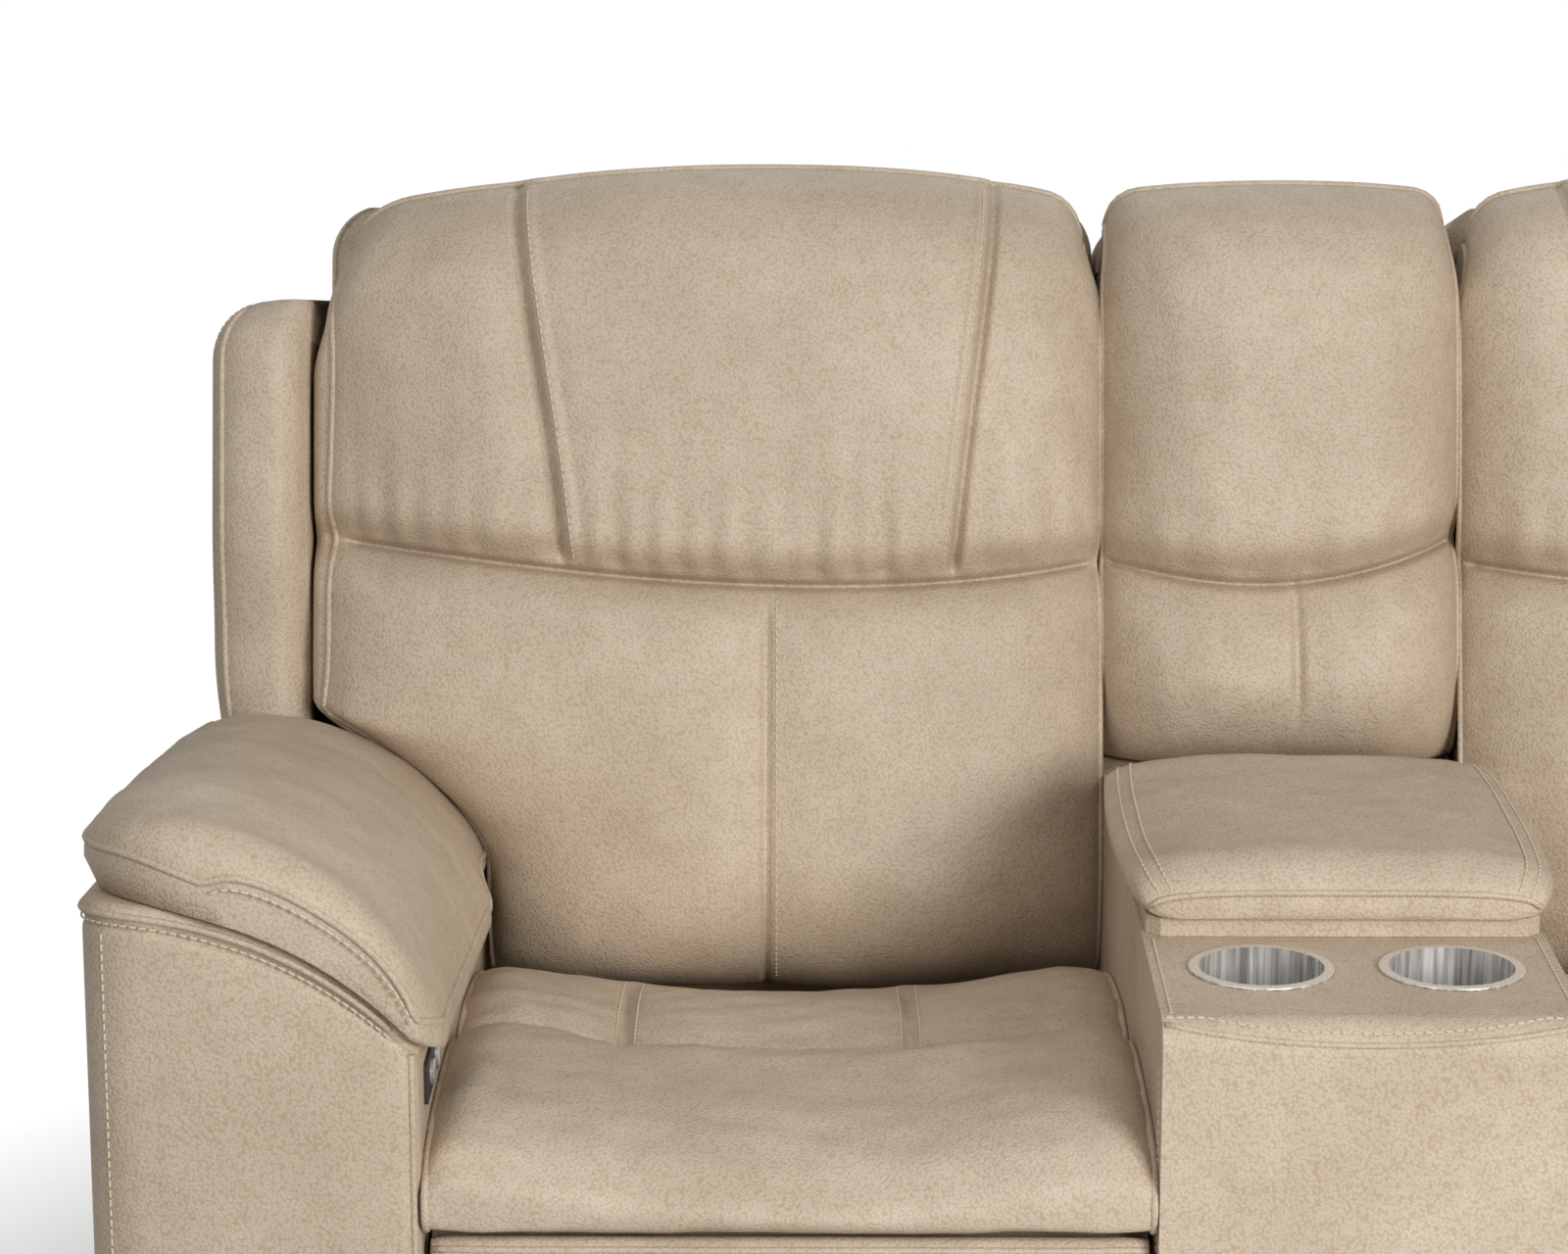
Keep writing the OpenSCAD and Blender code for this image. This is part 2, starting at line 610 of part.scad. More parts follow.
// Padded wing and outer back, one upholstered shell round the frame
module back_shell(side) {
    xa = bay_in;
    n1 = back_shell_n;
    w_out = half_w - 1;
    wing_in = half_w - 92 + gap + 2;
    frame_x = panel_in_x - 10 + seam;
    vs = [20, 26, wing_v0 - 4, wing_v0, wing_v0 + 4, wing_v0 + 16, wing_v0 + 40, 150, 200, 290, 400, 500,
        wing_v - 60, wing_v - 38, wing_v - 20, wing_v - 8, wing_v - 3, wing_v + 2,
        back_top - 96, back_top - 76, back_top - 64, back_top - 57, back_top - 54];
    b = back_frame_t + seam;
    color(leather) on_side(side) in_back() skin([for (v = vs)
        let (wing = v >= wing_v0 && v < wing_v,
            ends = (0.3 + 0.7 * round_end(wing_v - v + 2, 60)) * (0.45 + 0.55 * round_end(v - wing_v0 + 2, 70)),
            x1 = wing ? w_out - 24 * (1 - ramp(130, 330, v)) - 30 * (1 - round_end(wing_v - v + 2, 44))
                : v < wing_v0 ? bay_out - 2 : half_w - 96 - 44 * (1 - round_end(back_top - 52 - v, 44)),
            nf = wing ? -(92 + 26 * ramp(320, 430, v)) * ends : b,
            ni = wing ? wing_in : v < wing_v0 ? x1 - 5 : x1 - 40,
            iw = x1 - ni,
            nx = wing ? wing_in : ni - 1,
            fx = wing ? frame_x : ni - 2,
            gx = wing ? frame_x : ni - 3.5,
            nb = wing ? -seam : b,
            n2 = n1 - 6 * (1 - round_end(v - 12, 20)) - 20 * (1 - round_end(back_top - 50 - v, 30)),
            pad = 5 * sin(180 * (v - 20) / back_top),
            n3 = max(b + 2, n2 - 30))
        [[xa, b, v], [xa, n2 - 6, v], [xa + 4, n2, v], [xa + 90, n2 + pad, v], [(xa + x1) / 2, n2 + pad + 4, v],
            [x1 - 90, n2 + pad, v], [x1 - 14, n2, v], [x1 - 3, n2 - 8, v], [x1, (n2 - 8 + n3) / 2, v],
            [x1, wing ? nf + (b - nf) * 0.5 : n3, v], [x1, wing ? nf + (b - nf) * 0.14 : b + 1, v],
            [x1 - iw * 0.08, nf + (b - nf) * 0.04, v], [x1 - iw * 0.24, nf, v],
            [x1 - iw * 0.68, nf, v], [x1 - iw * 0.88, nf + (nb - nf) * 0.05, v], [ni, nf + (nb - nf) * 0.2, v],
            [nx, nb, v], [fx, nb, v], [gx, b, v], [(fx + xa) / 2, b, v]]]);
}

module back_brackets(side) {
    pts = [-recline_y, recline_z];
    color(steel) on_side(side) {
        both_sides() {
            difference() {
                union() {
                    plate_at(guide_s, link_t) difference() {
                        union() {
                            bar_2d(pts, crank_at, 26);
                            bar_2d(pts, back_2d(20, 44), 34);
                            bar_2d(back_2d(20, 44), back_2d(18, 186), 26);
                        }
                        hole_2d(pts, pin_r + pin_play);
                    }
                }
                // the strap stays behind the frame's front plane where the cushion sits
                translate([-10, 0, 0]) in_back() cube_at([-20, -300, 72], [80, -1, 400]);
            }
        }
        translate([0, -crank_at[0], crank_at[1]]) rotate([0, 90, 0]) translate([0, 0, bay_in + guide_s + link_t])
            cylinder(h = bay_out - bay_in - 2 * (guide_s + link_t), r = tube_r, $fn = 48);
    }
}
// Point of the back's own frame as [forward, up]
function back_2d(n, v) = [-(back_y + n * cos(lean) + v * sin(lean)), back_z - n * sin(lean) + v * cos(lean)];

module console_back_frame() {
    x = console_x - 2;
    color(plywood) intersection() {
        in_back() difference() {
            cube_at([-x, 0, -60], [x, back_frame_t, back_top - 110]);
            for (v = [[60, 300], [360, back_top - 150]]) cube_at([-x + 50, -1, v[0]], [x - 50, back_frame_t + 1, v[1]]);
        }
        translate([-300, 0, 300]) cube([600, 700, 900]);
    }
}
module console_back_cushion() {
    x = console_x - 0.5;
    v0 = (deck_h + 1.5 - back_z) / cos(lean);
    color(leather) back_pad(-x, x, 0, v0, back_top - 38, back_cushion_t + 12, back_v(head_seam_h) - 34, 0,
        [-400, -400], [-400, -400]);
}
module console_back_shell() {
    x = console_x - 0.5;
    b = back_frame_t + seam;
    n1 = back_shell_n;
    color(leather) in_back() skin([for (v = [4, 8, 20, 120, 300, 480, 600, back_top - 100, back_top - 82,
        back_top - 70, back_top - 64])
        let (n2 = n1 - 8 * (1 - round_end(v + 4, 14)) - 16 * (1 - round_end(back_top - 60 - v, 30)), pad = 3)
        [[-x, b, v], [-x, n2 - 6, v], [-x + 4, n2, v], [-x / 2, n2 + pad, v], [0, n2 + pad + 2, v], [x / 2, n2 + pad, v],
            [x - 4, n2, v], [x, n2 - 6, v], [x, b, v], [0, b, v]]]);
}

// Seats

seat_front = front_y + 2;
module seat_frame(side) {
    x0 = bay_in + 4;
    x1 = bay_out - 4;
    y0 = -(board_f - 14);
    y1 = seat_back_y + 14;
    color(plywood) on_side(side) difference() {
        cube_at([x0, y0, seat_deck_h - 40], [x1, y1, seat_deck_h]);
        cube_at([x0 + 44, y0 + 60, seat_deck_h - 41], [x1 - 44, y1 - 50, seat_deck_h + 1]);
        // notches for the spring clips
        for (k = [0:3]) translate([x0 + 100 + k * (x1 - x0 - 200) / 3, 0, seat_deck_h - 6])
            cube_at([-19, y0 + 44, 0], [19, y1 - 34, 10]);
    }
}
// Wave springs, four to a seat, swept from a square wire along each bend
module seat_springs() {
    x0 = bay_in + 4;
    x1 = bay_out - 4;
    y0 = -(board_f - 14) + 46;
    y1 = seat_back_y + 14 - 36;
    bends = 9;
    w = 24;
    r = 1.8;
    path = concat([[0, y0], [0, y0 + 12]], [for (i = [0:bends - 1], a = [0, 0.28, 0.72, 1])
        let (s = i % 2 == 0 ? 1 : -1, step = (y1 - y0 - 24) / bends)
        [s * w * (a == 0 || a == 1 ? 0.55 : 1), y0 + 12 + step * (i + a * 0.9 + 0.05)]],
        [[0, y1 - 12], [0, y1]]);
    color(steel) for (side = ["left", "right"]) on_side(side)
        for (k = [0:3]) translate([x0 + 100 + k * (x1 - x0 - 200) / 3, 0, seat_deck_h - 4])
            skin([for (i = [0:len(path) - 1])
                let (a = path[max(0, i - 1)], b = path[min(len(path) - 1, i + 1)], d = (b - a) / norm(b - a),
                    n = [-d[1], d[0]], p = path[i])
                [[p[0] - n[0] * r, p[1] - n[1] * r, -r], [p[0] - n[0] * r, p[1] - n[1] * r, r],
                    [p[0] + n[0] * r, p[1] + n[1] * r, r], [p[0] + n[0] * r, p[1] + n[1] * r, -r]]]);
}
module seat_cushion(side) {
    x0 = bay_in;
    x1 = bay_out;
    xm = (x0 + x1) / 2;
    hw = (x1 - x0) / 2;
    z0 = seat_deck_h + seam;
    f1 = seat_front;
    fin = board_f - 6;
    zt = footrest_lift + footrest_h + 5;
    y1 = seat_back_y;
    us = [0, 0.022, 0.07, 0.16, 0.24, 0.288, 0.33, 0.42, 0.5, 0.58, 0.67, 0.712, 0.76, 0.84, 0.93, 0.978, 1];
    rings = [for (u = us)
        let (d = min(u, 1 - u) * 2 * hw,
            x = x0 + u * 2 * hw + (u < 0.5 ? 1 : -1) * 5 * bump(0.12, 0.1, min(u, 1 - u)) * 0,
            k = 0.55 + 0.45 * round_end(d + 3, 62),
            groove = 7 * bump(xm + 18 - 107, 9, x) + 7 * bump(xm + 18 + 107, 9, x),
            top = function (y, h) z0 + (h - z0) * k + 9 * sin(180 * u) - 6 - groove * ramp(-300, -250, y)
                * (1 - ramp(-20, 40, y)),
            nose = (0.5 + 0.5 * round_end(d + 6, 50)))
        [[x, y1, z0], [x, y1 + 2, z0 + 24], [x, y1 - 4, top(y1, 428)], [x, y1 - 26, top(y1, 440)],
            [x, -20, top(-20, 458)], [x, -90, top(-90, 468)], [x, -160, top(-160, 473)], [x, -215, top(-215, 472)],
            [x, -252, top(-252, seat_h - 22)], [x, -290, top(-290, seat_h - 8)], [x, -350, top(-350, seat_h)],
            [x, -408, top(-408, seat_h - 1)], [x, -448 + 8 * (1 - nose), top(-448, seat_h - 8)],
            [x, -f1 + 14 + 10 * (1 - nose), top(-f1, seat_h - 24)], [x, -f1 + 2 + 14 * (1 - nose), top(-f1, seat_h - 38)],
            [x, -f1 + 4 + 14 * (1 - nose), zt + 8], [x, -f1 + 16 + 12 * (1 - nose), zt], [x, -fin, zt], [x, -fin, z0 + 8],
            [x, -fin + 8, z0], [x, -200, z0]]];
    color(leather) on_side(side) skin(rings, true);
}

// Reclining mechanism

module side_plates() {
    color(steel) for (side = ["left", "right"]) on_side(side) {
        both_sides() {
            plate_at(plate_s, link_t) difference() {
                polygon([[-recline_y - 22, 318], [-recline_y - 22, 360], [-recline_y - 12, 371],
                    [-recline_y + 12, 371], [-recline_y + 24, 352], [-118, seat_deck_h - 40],
                    [p0[0] + 16, seat_deck_h - 40], [p0[0] + 16, 304], [p0[0] - 4, 292], [q0[0] - 8, 280],
                    [q0[0] - 26, 280], [210, 288], [-100, 288]]);
                for (f = [-70, 20, 110]) hull() {
                    hole_2d([f, 312], 8);
                    hole_2d([f + 50, 312], 8);
                }
            }
            // flange that carries the seat frame
            cube_at([plate_s, -p0[0] - 10, seat_deck_h - 44], [plate_s + 34, seat_back_y + 10, seat_deck_h - 40]);
            // spacers and bolt heads that fix the plate to the arm or console
            for (f = [-94, 0, 92, 186]) {
                bar_at([f, 312], -gap, plate_s + gap, 9);
                translate([plate_s + link_t, -f, 312]) rotate([0, 90, 0]) cylinder(h = 5, r = 8, $fn = 6);
            }
            pivot_pin(p0, plate_s + link_t, drive_s + link_t);
            pivot_pin(q0, plate_s + link_t, guide_s + link_t);
            pivot_pin([-recline_y, recline_z], plate_s + link_t, guide_s + link_t);
        }
        // tie tubes that also hang the drive unit
        for (f = [-48, 140]) translate([0, -f, 314]) rotate([0, 90, 0])
            translate([0, 0, bay_in + plate_s + link_t])
            cylinder(h = bay_out - bay_in - 2 * (plate_s + link_t), r = 8, $fn = 40);
    }
}
// Pin from s0 through the bars up to s1, with a head beyond
module pivot_pin(p, s0, s1) {
    bar_at(p, s0, s1 - s0 + 0.3, pin_r);
    bar_at(p, s1 + 0.3, 2.2, pin_r + 3);
}

module foot_drive_links(side) {
    color(steel) on_side(side) {
        both_sides() {
            plate_at(drive_s, link_t) difference() {
                union() {
                    bar_2d(p0, p1, link_w);
                    bar_2d(p0, tube_at, link_w + 6);
                    bar_2d(d1, p1, link_w);
                    bar_2d(d1, p0 + (p1 - p0) * 0.55, link_w);
                }
                hole_2d(p0, pin_r + pin_play);
            }
            // pins towards the carry and tilt links
            for (p = [p1, d1]) {
                bar_at(p, carry_s - 0.3, drive_s - carry_s + 0.3, pin_r);
                bar_at(p, carry_s - 2.5, 2.2, pin_r + 3);
            }
        }
        translate([bay_in + drive_s + link_t, -tube_at[0], tube_at[1]]) rotate([0, 90, 0])
            cylinder(h = bay_out - bay_in - 2 * (drive_s + link_t), r = tube_r, $fn = 48);
    }
}
module foot_guide_links(side) {
    color(steel) on_side(side) both_sides() plate_at(guide_s, link_t) difference() {
        bar_2d(q0, c1, link_w);
        hole_2d(q0, pin_r + pin_play);
        hole_2d(c1, pin_r + 1.4);
    }
}
module foot_carry_links(side) {
    color(steel) on_side(side) both_sides() {
        plate_at(carry_s, link_t) difference() {
            union() {
                bar_2d(c1, p1, link_w);
                bar_2d(p1, p2, link_w);
            }
            hole_2d(p1, pin_r + pin_play);
            hole_2d(p2, pin_r + pin_play);
        }
        bar_at(c1, guide_s + 0.4, carry_s - guide_s - 0.4, pin_r);
    }
}
module foot_tilt_links(side) {
    color(steel) on_side(side) both_sides() plate_at(carry_s, link_t) difference() {
        bar_2d(d1, e2, link_w - 2);
        hole_2d(d1, pin_r + pin_play);
        hole_2d(e2, pin_r + 1.4);
    }
}
module footrest_brackets(side) {
    color(steel) on_side(side) both_sides() {
        plate_at(drive_s, link_t) difference() {
            union() {
                bar_2d(p2 + [0, -14], e2 + [0, 14], link_w);
                translate([p2[0], p2[1] - 40]) square([board_f - p2[0], 140]);
            }
            hole_2d(p2 + [0, -60], 3);
        }
        // flange against the board
        cube_at([drive_s, -board_f, p2[1] - 40], [drive_s + 36, -board_f + 3, p2[1] + 100]);
        bar_at(p2, carry_s - 0.3, drive_s - carry_s + 0.3, pin_r);
        bar_at(p2, carry_s - 2.5, 2.2, pin_r + 3);
        bar_at(e2, carry_s + 0.4, drive_s - carry_s - 0.4, pin_r);
        for (u = [-28, 84]) bar_board([drive_s + 22, p2[1] + u]);
    }
}
module bar_board(p) {
    translate([p[0], -board_f + 3, p[1]]) rotate([-90, 0, 0]) cylinder(h = 2.5, r = 6, $fn = 6);
}
foot_in = bay_in + 2;
foot_out = bay_out - 2;
module footrest_board(side) {
    z0 = footrest_lift + 12;
    z1 = footrest_lift + footrest_h - 10;
    color(plywood) on_side(side) difference() {
        cube_at([foot_in + 12, -board_f - board_t, z0], [foot_out - 12, -board_f, z1]);
        for (x = [foot_in + 12, foot_out - 12]) for (z = [z0, z1]) translate([x, 0, z]) rotate([0, 45, 0])
            cube([22, 2000, 22], center = true);
        for (x = [bay_mid - 90, bay_mid + 90]) translate([x, 0, (z0 + z1) / 2]) rotate([90, 0, 0])
            cylinder(h = 1200, r = 34, $fn = 64, center = true);
    }
}
module footrest_pad(side) {
    f0 = board_f + board_t + seam;
    f1 = f0 + footrest_pad_t;
    z0 = footrest_lift;
    z1 = footrest_lift + footrest_h;
    m = 24;
    ts = [0, 0.014, 0.045, 0.1, 0.2, 0.36, 0.5, 0.64, 0.8, 0.9, 0.955, 0.986, 1];
    zm = (z0 + z1) / 2;
    rings = [for (t = ts)
        let (x = foot_in + t * (foot_out - foot_in),
            d = min(t, 1 - t) * (foot_out - foot_in),
            k = 0.4 + 0.6 * round_end(d + 2, 44),
            hz = (z1 - z0) / 2 * (0.965 + 0.035 * round_end(d + 2, 30)))
        [for (j = [0:m - 1])
            let (a = j * 360 / m)
            [x, -min(f1, max(f0, f0 + footrest_pad_t * k * (0.45 + 0.6 * spow(cos(a), 0.8)))), zm + hz * spow(sin(a), 0.5)]]];
    color(leather) on_side(side) skin(rings);
}

// Drive: one housing with two motors, each pushing a yoke along a rail
yoke_w = 30;
module drive_unit(side) {
    y0 = -p0[0] + 96;
    y1 = recline_y - 82;
    z0 = rail_z - 9;
    z1 = rail_z + 59;
    color(black_plastic) on_side(side) translate([bay_mid, 0, 0]) difference() {
        union() {
            difference() {
                cube_at([-24, y0, z0], [24, y1, z1]);
                for (x = [-24, 24]) for (z = [z0, z1]) translate([x, 0, z]) rotate([0, 45, 0])
                    cube([9, 2000, 9], center = true);
            }
            // motors beside the housing, one to each side
            for (k = [0, 1]) translate([k == 0 ? -34 : 34, k == 0 ? y0 + 60 : y1 - 60, rail_z + 14]) rotate([90, 0, 0]) {
                cylinder(h = 96, r = 21, center = true, $fn = 72);
                cylinder(h = 108, r = 15, center = true, $fn = 72);
            }
            // hanger blocks that grip the tie tubes
            for (f = [-48, 140]) cube_at([-20, -f - 13, z1 - 8], [20, -f + 13, 320]);
            // rails for the yokes
            for (k = [0, 1]) cube_at([-9, k == 0 ? y0 - 136 : y1 - 1, rail_z - 5], [9, k == 0 ? y0 + 1 : y1 + 130, rail_z + 5]);
        }
        for (f = [-48, 140]) translate([0, -f, 314]) rotate([0, 90, 0]) cylinder(h = 60, r = 8, $fn = 40, center = true);
    }
}
// Yoke with an upright slot that a cross tube runs in, on a carriage round the rail
module yoke(at, z_low, z_high) {
    r = tube_r + 2.6;
    translate([bay_mid, at, 0]) difference() {
        union() {
            cube_at([-yoke_w / 2, -r - 6, rail_z + 8], [yoke_w / 2, r + 6, z_high + tube_r + 7]);
            cube_at([-yoke_w / 2, -r - 6, rail_z - 11], [yoke_w / 2, r + 6, rail_z + 9]);
        }
        translate([-40, 0, 0]) rotate([0, 90, 0]) linear_extrude(80) {
            translate([-z_low, 0]) circle(r = r, $fn = 64);
            translate([-z_high, 0]) circle(r = r, $fn = 64);
            translate([-z_high, -r]) square([z_high - z_low, 2 * r]);
        }
        cube_at([-9.3, -80, rail_z - 5.3], [9.3, 80, rail_z + 5.3]);
    }
}
module foot_yoke(side) {
    color(steel) on_side(side) yoke(-tube_at[0], p0[1] - tube_reach + tube_r - 8, tube_at[1] - 1);
}
module back_yoke(side) {
    color(steel) on_side(side) yoke(-crank_at[0], recline_z - crank_len + 0.5, crank_at[1] + 0.5);
}

module power_supply() {
    color(black_plastic) translate([bay_mid + 60, 30, base_z + 66]) {
        difference() {
            cube_at([-70, -170, 0], [70, -94, 42]);
            for (k = [0:5]) cube_at([-50 + k * 18, -171, 12], [-44 + k * 18, -168.5, 32]);
        }
        cube_at([-86, -160, 0], [86, -104, 3]);
    }
}

// Controls on the inner face of each arm
panel_y = -front_y + 96;
panel_z = 515;
module control_panels() {
    color(black_plastic) for (side = ["left", "right"]) on_side(side) translate([arm_in_x, panel_y, panel_z])
        difference() {
            rotate([0, -90, 0]) difference() {
                linear_extrude(2.6) union() {
                    square([30, 92], center = true);
                    square([22, 100], center = true);
                    for (x = [-11, 11]) for (y = [-46, 46]) translate([x, y]) circle(r = 4, $fn = 32);
                }
                for (y = [-20, 20]) translate([0, y, 0.8]) cylinder(h = 10, r = button_r + 0.5, $fn = 72);
            }
        }
}
module button(side, y) {
    color(stainless) on_side(side) translate([arm_in_x - 0.8 - button_travel - 0.3, panel_y + y, panel_z]) rotate([0, -90, 0]) {
        cylinder(h = 2.2, r = button_r, $fn = 72);
        translate([0, 0, 2.2]) cylinder(h = 0.8, r1 = button_r, r2 = button_r - 0.8, $fn = 72);
    }
}

arm_frame("left");  // left_arm_frame
arm_frame("right");  // right_arm_frame
arm_cover("left");  // left_arm_cover
arm_cover("right");  // right_arm_cover
arm_pad("left");  // left_arm_pad
arm_pad("right");  // right_arm_pad
base_rails();
feet();
rear_panel();
console_box();
console_cover();
cup_holder("left");  // left_cup_holder
cup_holder("right");  // right_cup_holder
console_back_frame();
console_back_cushion();
console_back_shell();
control_panels();
power_supply();
lid_hinge_fixed_leaf();
side_plates();
seat_frame("left");  // left_seat_frame
seat_frame("right");  // right_seat_frame
seat_springs();
seat_cushion("left");  // left_seat_cushion
seat_cushion("right");  // right_seat_cushion
drive_unit("left");  // left_drive_unit
drive_unit("right");  // right_drive_unit
lid_hinge_moving_leaf();
lid_board();
lid_pad();
back_frame("left");  // left_back_frame
back_frame("right");  // right_back_frame
back_brackets("left");  // left_back_brackets
back_brackets("right");  // right_back_brackets
back_cushion("left");  // left_back_cushion
back_cushion("right");  // right_back_cushion
back_shell("left");  // left_back_shell
back_shell("right");  // right_back_shell
back_yoke("left");  // left_back_yoke
back_yoke("right");  // right_back_yoke
foot_yoke("left");  // left_foot_yoke
foot_yoke("right");  // right_foot_yoke
foot_drive_links("left");  // left_foot_drive_links
foot_drive_links("right");  // right_foot_drive_links
foot_guide_links("left");  // left_foot_guide_links
foot_guide_links("right");  // right_foot_guide_links
foot_carry_links("left");  // left_foot_carry_links
foot_carry_links("right");  // right_foot_carry_links
foot_tilt_links("left");  // left_foot_tilt_links
foot_tilt_links("right");  // right_foot_tilt_links
footrest_brackets("left");  // left_footrest_brackets
footrest_brackets("right");  // right_footrest_brackets
footrest_board("left");  // left_footrest_board
footrest_board("right");  // right_footrest_board
footrest_pad("left");  // left_footrest_pad
footrest_pad("right");  // right_footrest_pad
button("left", -20);  // left_open_button
button("left", 20);  // left_close_button
button("right", -20);  // right_open_button
button("right", 20);  // right_close_button
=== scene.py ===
import json
import math

import bpy
import numpy as np
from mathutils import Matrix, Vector


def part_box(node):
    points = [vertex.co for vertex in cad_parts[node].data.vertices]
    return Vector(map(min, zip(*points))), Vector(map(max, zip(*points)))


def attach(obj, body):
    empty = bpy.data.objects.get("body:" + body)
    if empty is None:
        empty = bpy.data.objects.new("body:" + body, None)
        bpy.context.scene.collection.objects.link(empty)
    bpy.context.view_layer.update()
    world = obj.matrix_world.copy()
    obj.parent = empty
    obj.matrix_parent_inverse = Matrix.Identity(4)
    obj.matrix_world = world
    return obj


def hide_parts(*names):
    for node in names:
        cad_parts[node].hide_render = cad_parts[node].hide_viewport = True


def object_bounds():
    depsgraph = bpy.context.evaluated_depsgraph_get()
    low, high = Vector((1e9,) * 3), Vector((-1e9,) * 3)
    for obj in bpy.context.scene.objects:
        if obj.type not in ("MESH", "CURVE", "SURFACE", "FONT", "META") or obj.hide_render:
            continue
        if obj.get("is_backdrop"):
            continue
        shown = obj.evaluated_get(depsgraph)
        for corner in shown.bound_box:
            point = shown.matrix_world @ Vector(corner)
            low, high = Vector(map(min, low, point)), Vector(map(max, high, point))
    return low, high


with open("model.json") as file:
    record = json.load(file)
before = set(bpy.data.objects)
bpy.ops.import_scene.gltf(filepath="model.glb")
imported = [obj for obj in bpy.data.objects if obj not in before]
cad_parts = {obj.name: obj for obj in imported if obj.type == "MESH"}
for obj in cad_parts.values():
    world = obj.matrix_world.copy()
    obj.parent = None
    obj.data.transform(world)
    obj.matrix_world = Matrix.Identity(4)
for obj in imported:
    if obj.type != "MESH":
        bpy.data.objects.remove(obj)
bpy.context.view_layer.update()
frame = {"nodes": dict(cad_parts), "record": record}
NODES = frame["nodes"]
SIDES = ("left", "right")

# Sizes in millimetres, the same as the CAD's
HALF_W = 880.0
CONSOLE_X = 144.0
GAP = 3.0
BAY_IN = CONSOLE_X + GAP
ARM_IN = HALF_W - 234.0
BAY_OUT = ARM_IN - GAP
BAY_MID = (BAY_IN + BAY_OUT) / 2
ARM_OUT = HALF_W - 5.0
FRONT_Y = 486.0
LEAN = math.radians(13.5)
BACK_Y = 215.0
BACK_Z = 330.0
BACK_TOP = (1060 - BACK_Z) / math.cos(LEAN)
ARM_H = 654.0
ARM_R = 285.0
ARM_TOP_X = ARM_OUT - 15
FALL = math.radians(6)
DECK_H = 575.0
REAR_Y = 385.0
ARM_END_Y = 186.0
FOOT_Z = 51.0

# Sizes of the leather
COVER_X = ARM_OUT + 1.5
CORNER = 52.0
INNER_R = 16
PANEL_SEAMS = (BAY_MID + 18 - 107, BAY_MID + 18 + 107)
SEAM_GAP = 7
PIPE_STEP = 9
STITCH_PITCH = 7.0
STITCH_LEN = 5.0
STITCH_START = 0.8
THREAD_R = 0.85


def rand(seed):
    return np.random.default_rng(seed)


def ramp(a, b, x):
    t = np.clip((np.asarray(x, float) - a) / (b - a), 0, 1)
    return t * t * (3 - 2 * t)


def bump(c, w, x):
    return np.exp(-(((np.asarray(x, float) - c) / w) ** 2))


def round_end(d, r):
    """A quarter circle from 0 at an end to 1 at r inside it."""
    d = np.clip(np.asarray(d, float), 0, r)
    return np.sqrt(np.maximum(0, 1 - ((r - d) / r) ** 2))


def taper(d, r):
    return 1 - float(round_end(d, r))


def spow(v, p):
    return np.sign(v) * np.abs(v) ** p


def waves(x, y, seed, size, count=14):
    """Smooth seeded noise near -1 to 1, with features about size across."""
    g = rand(seed)
    out = np.zeros(np.broadcast(np.asarray(x, float), np.asarray(y, float)).shape)
    for _ in range(count):
        a = g.uniform(0, 2 * math.pi)
        k = 2 * math.pi / (size * g.uniform(0.7, 1.7))
        out = out + np.sin(k * (np.cos(a) * x + np.sin(a) * y) + g.uniform(0, 2 * math.pi))
    return out / math.sqrt(count)


def comb(s, seed, size, count=9):
    """Seeded ridges along one direction."""
    g = rand(seed)
    out = np.zeros(np.asarray(s, float).shape)
    for _ in range(count):
        k = 2 * math.pi / (size * g.uniform(0.6, 2.0))
        out = out + np.sin(k * s + g.uniform(0, 2 * math.pi))
    return out / math.sqrt(count)


def spread(n, e=0.35):
    """Positions from -1 to 1, closer together towards both ends."""
    t = np.linspace(-1, 1, n)
    return t * (1 + e) - e * t**3


def steps(n, e=0.35):
    """Positions from 0 to 1, closer together towards both ends."""
    return (spread(n, e) + 1) / 2


def smooth_line(points, n):
    """Catmull-Rom line through points, cut to n points."""
    p = np.asarray(points, float)
    p = np.vstack([2 * p[0] - p[1], p, 2 * p[-1] - p[-2]])
    m = len(p) - 3
    out = []
    for t in np.linspace(0, m, n):
        i = min(int(t), m - 1)
        f = t - i
        a, b, c, d = p[i], p[i + 1], p[i + 2], p[i + 3]
        square = 2 * a - 5 * b + 4 * c - d
        cube = 3 * b - a - 3 * c + d
        out.append(0.5 * (2 * b + (c - a) * f + square * f**2 + cube * f**3))
    return np.array(out)


# Materials

def srgb(r, g, b):
    return [((c / 255 + 0.055) / 1.055) ** 2.4 if c > 10 else c / 3294 for c in (r, g, b)] + [1.0]


def new_material(name):
    m = bpy.data.materials.new(name)
    m.use_nodes = True
    nt = m.node_tree
    nt.nodes.clear()
    out = nt.nodes.new("ShaderNodeOutputMaterial")
    sh = nt.nodes.new("ShaderNodeBsdfPrincipled")
    nt.links.new(sh.outputs[0], out.inputs[0])
    return m, nt, sh, nt.nodes.new("ShaderNodeTexCoord").outputs["Object"]


def noise(nt, coord, scale, detail, rough):
    n = nt.nodes.new("ShaderNodeTexNoise")
    n.inputs["Scale"].default_value = scale
    n.inputs["Detail"].default_value = detail
    n.inputs["Roughness"].default_value = rough
    nt.links.new(coord, n.inputs["Vector"])
    return n


def mix_rgb(nt, fac, a, b, blend="MIX"):
    m = nt.nodes.new("ShaderNodeMix")
    m.data_type = "RGBA"
    m.blend_type = blend
    nt.links.new(fac, m.inputs[0])
    for v, i in ((a, 6), (b, 7)):
        if hasattr(v, "links"):
            nt.links.new(v, m.inputs[i])
        else:
            m.inputs[i].default_value = v
    return m.outputs[2]


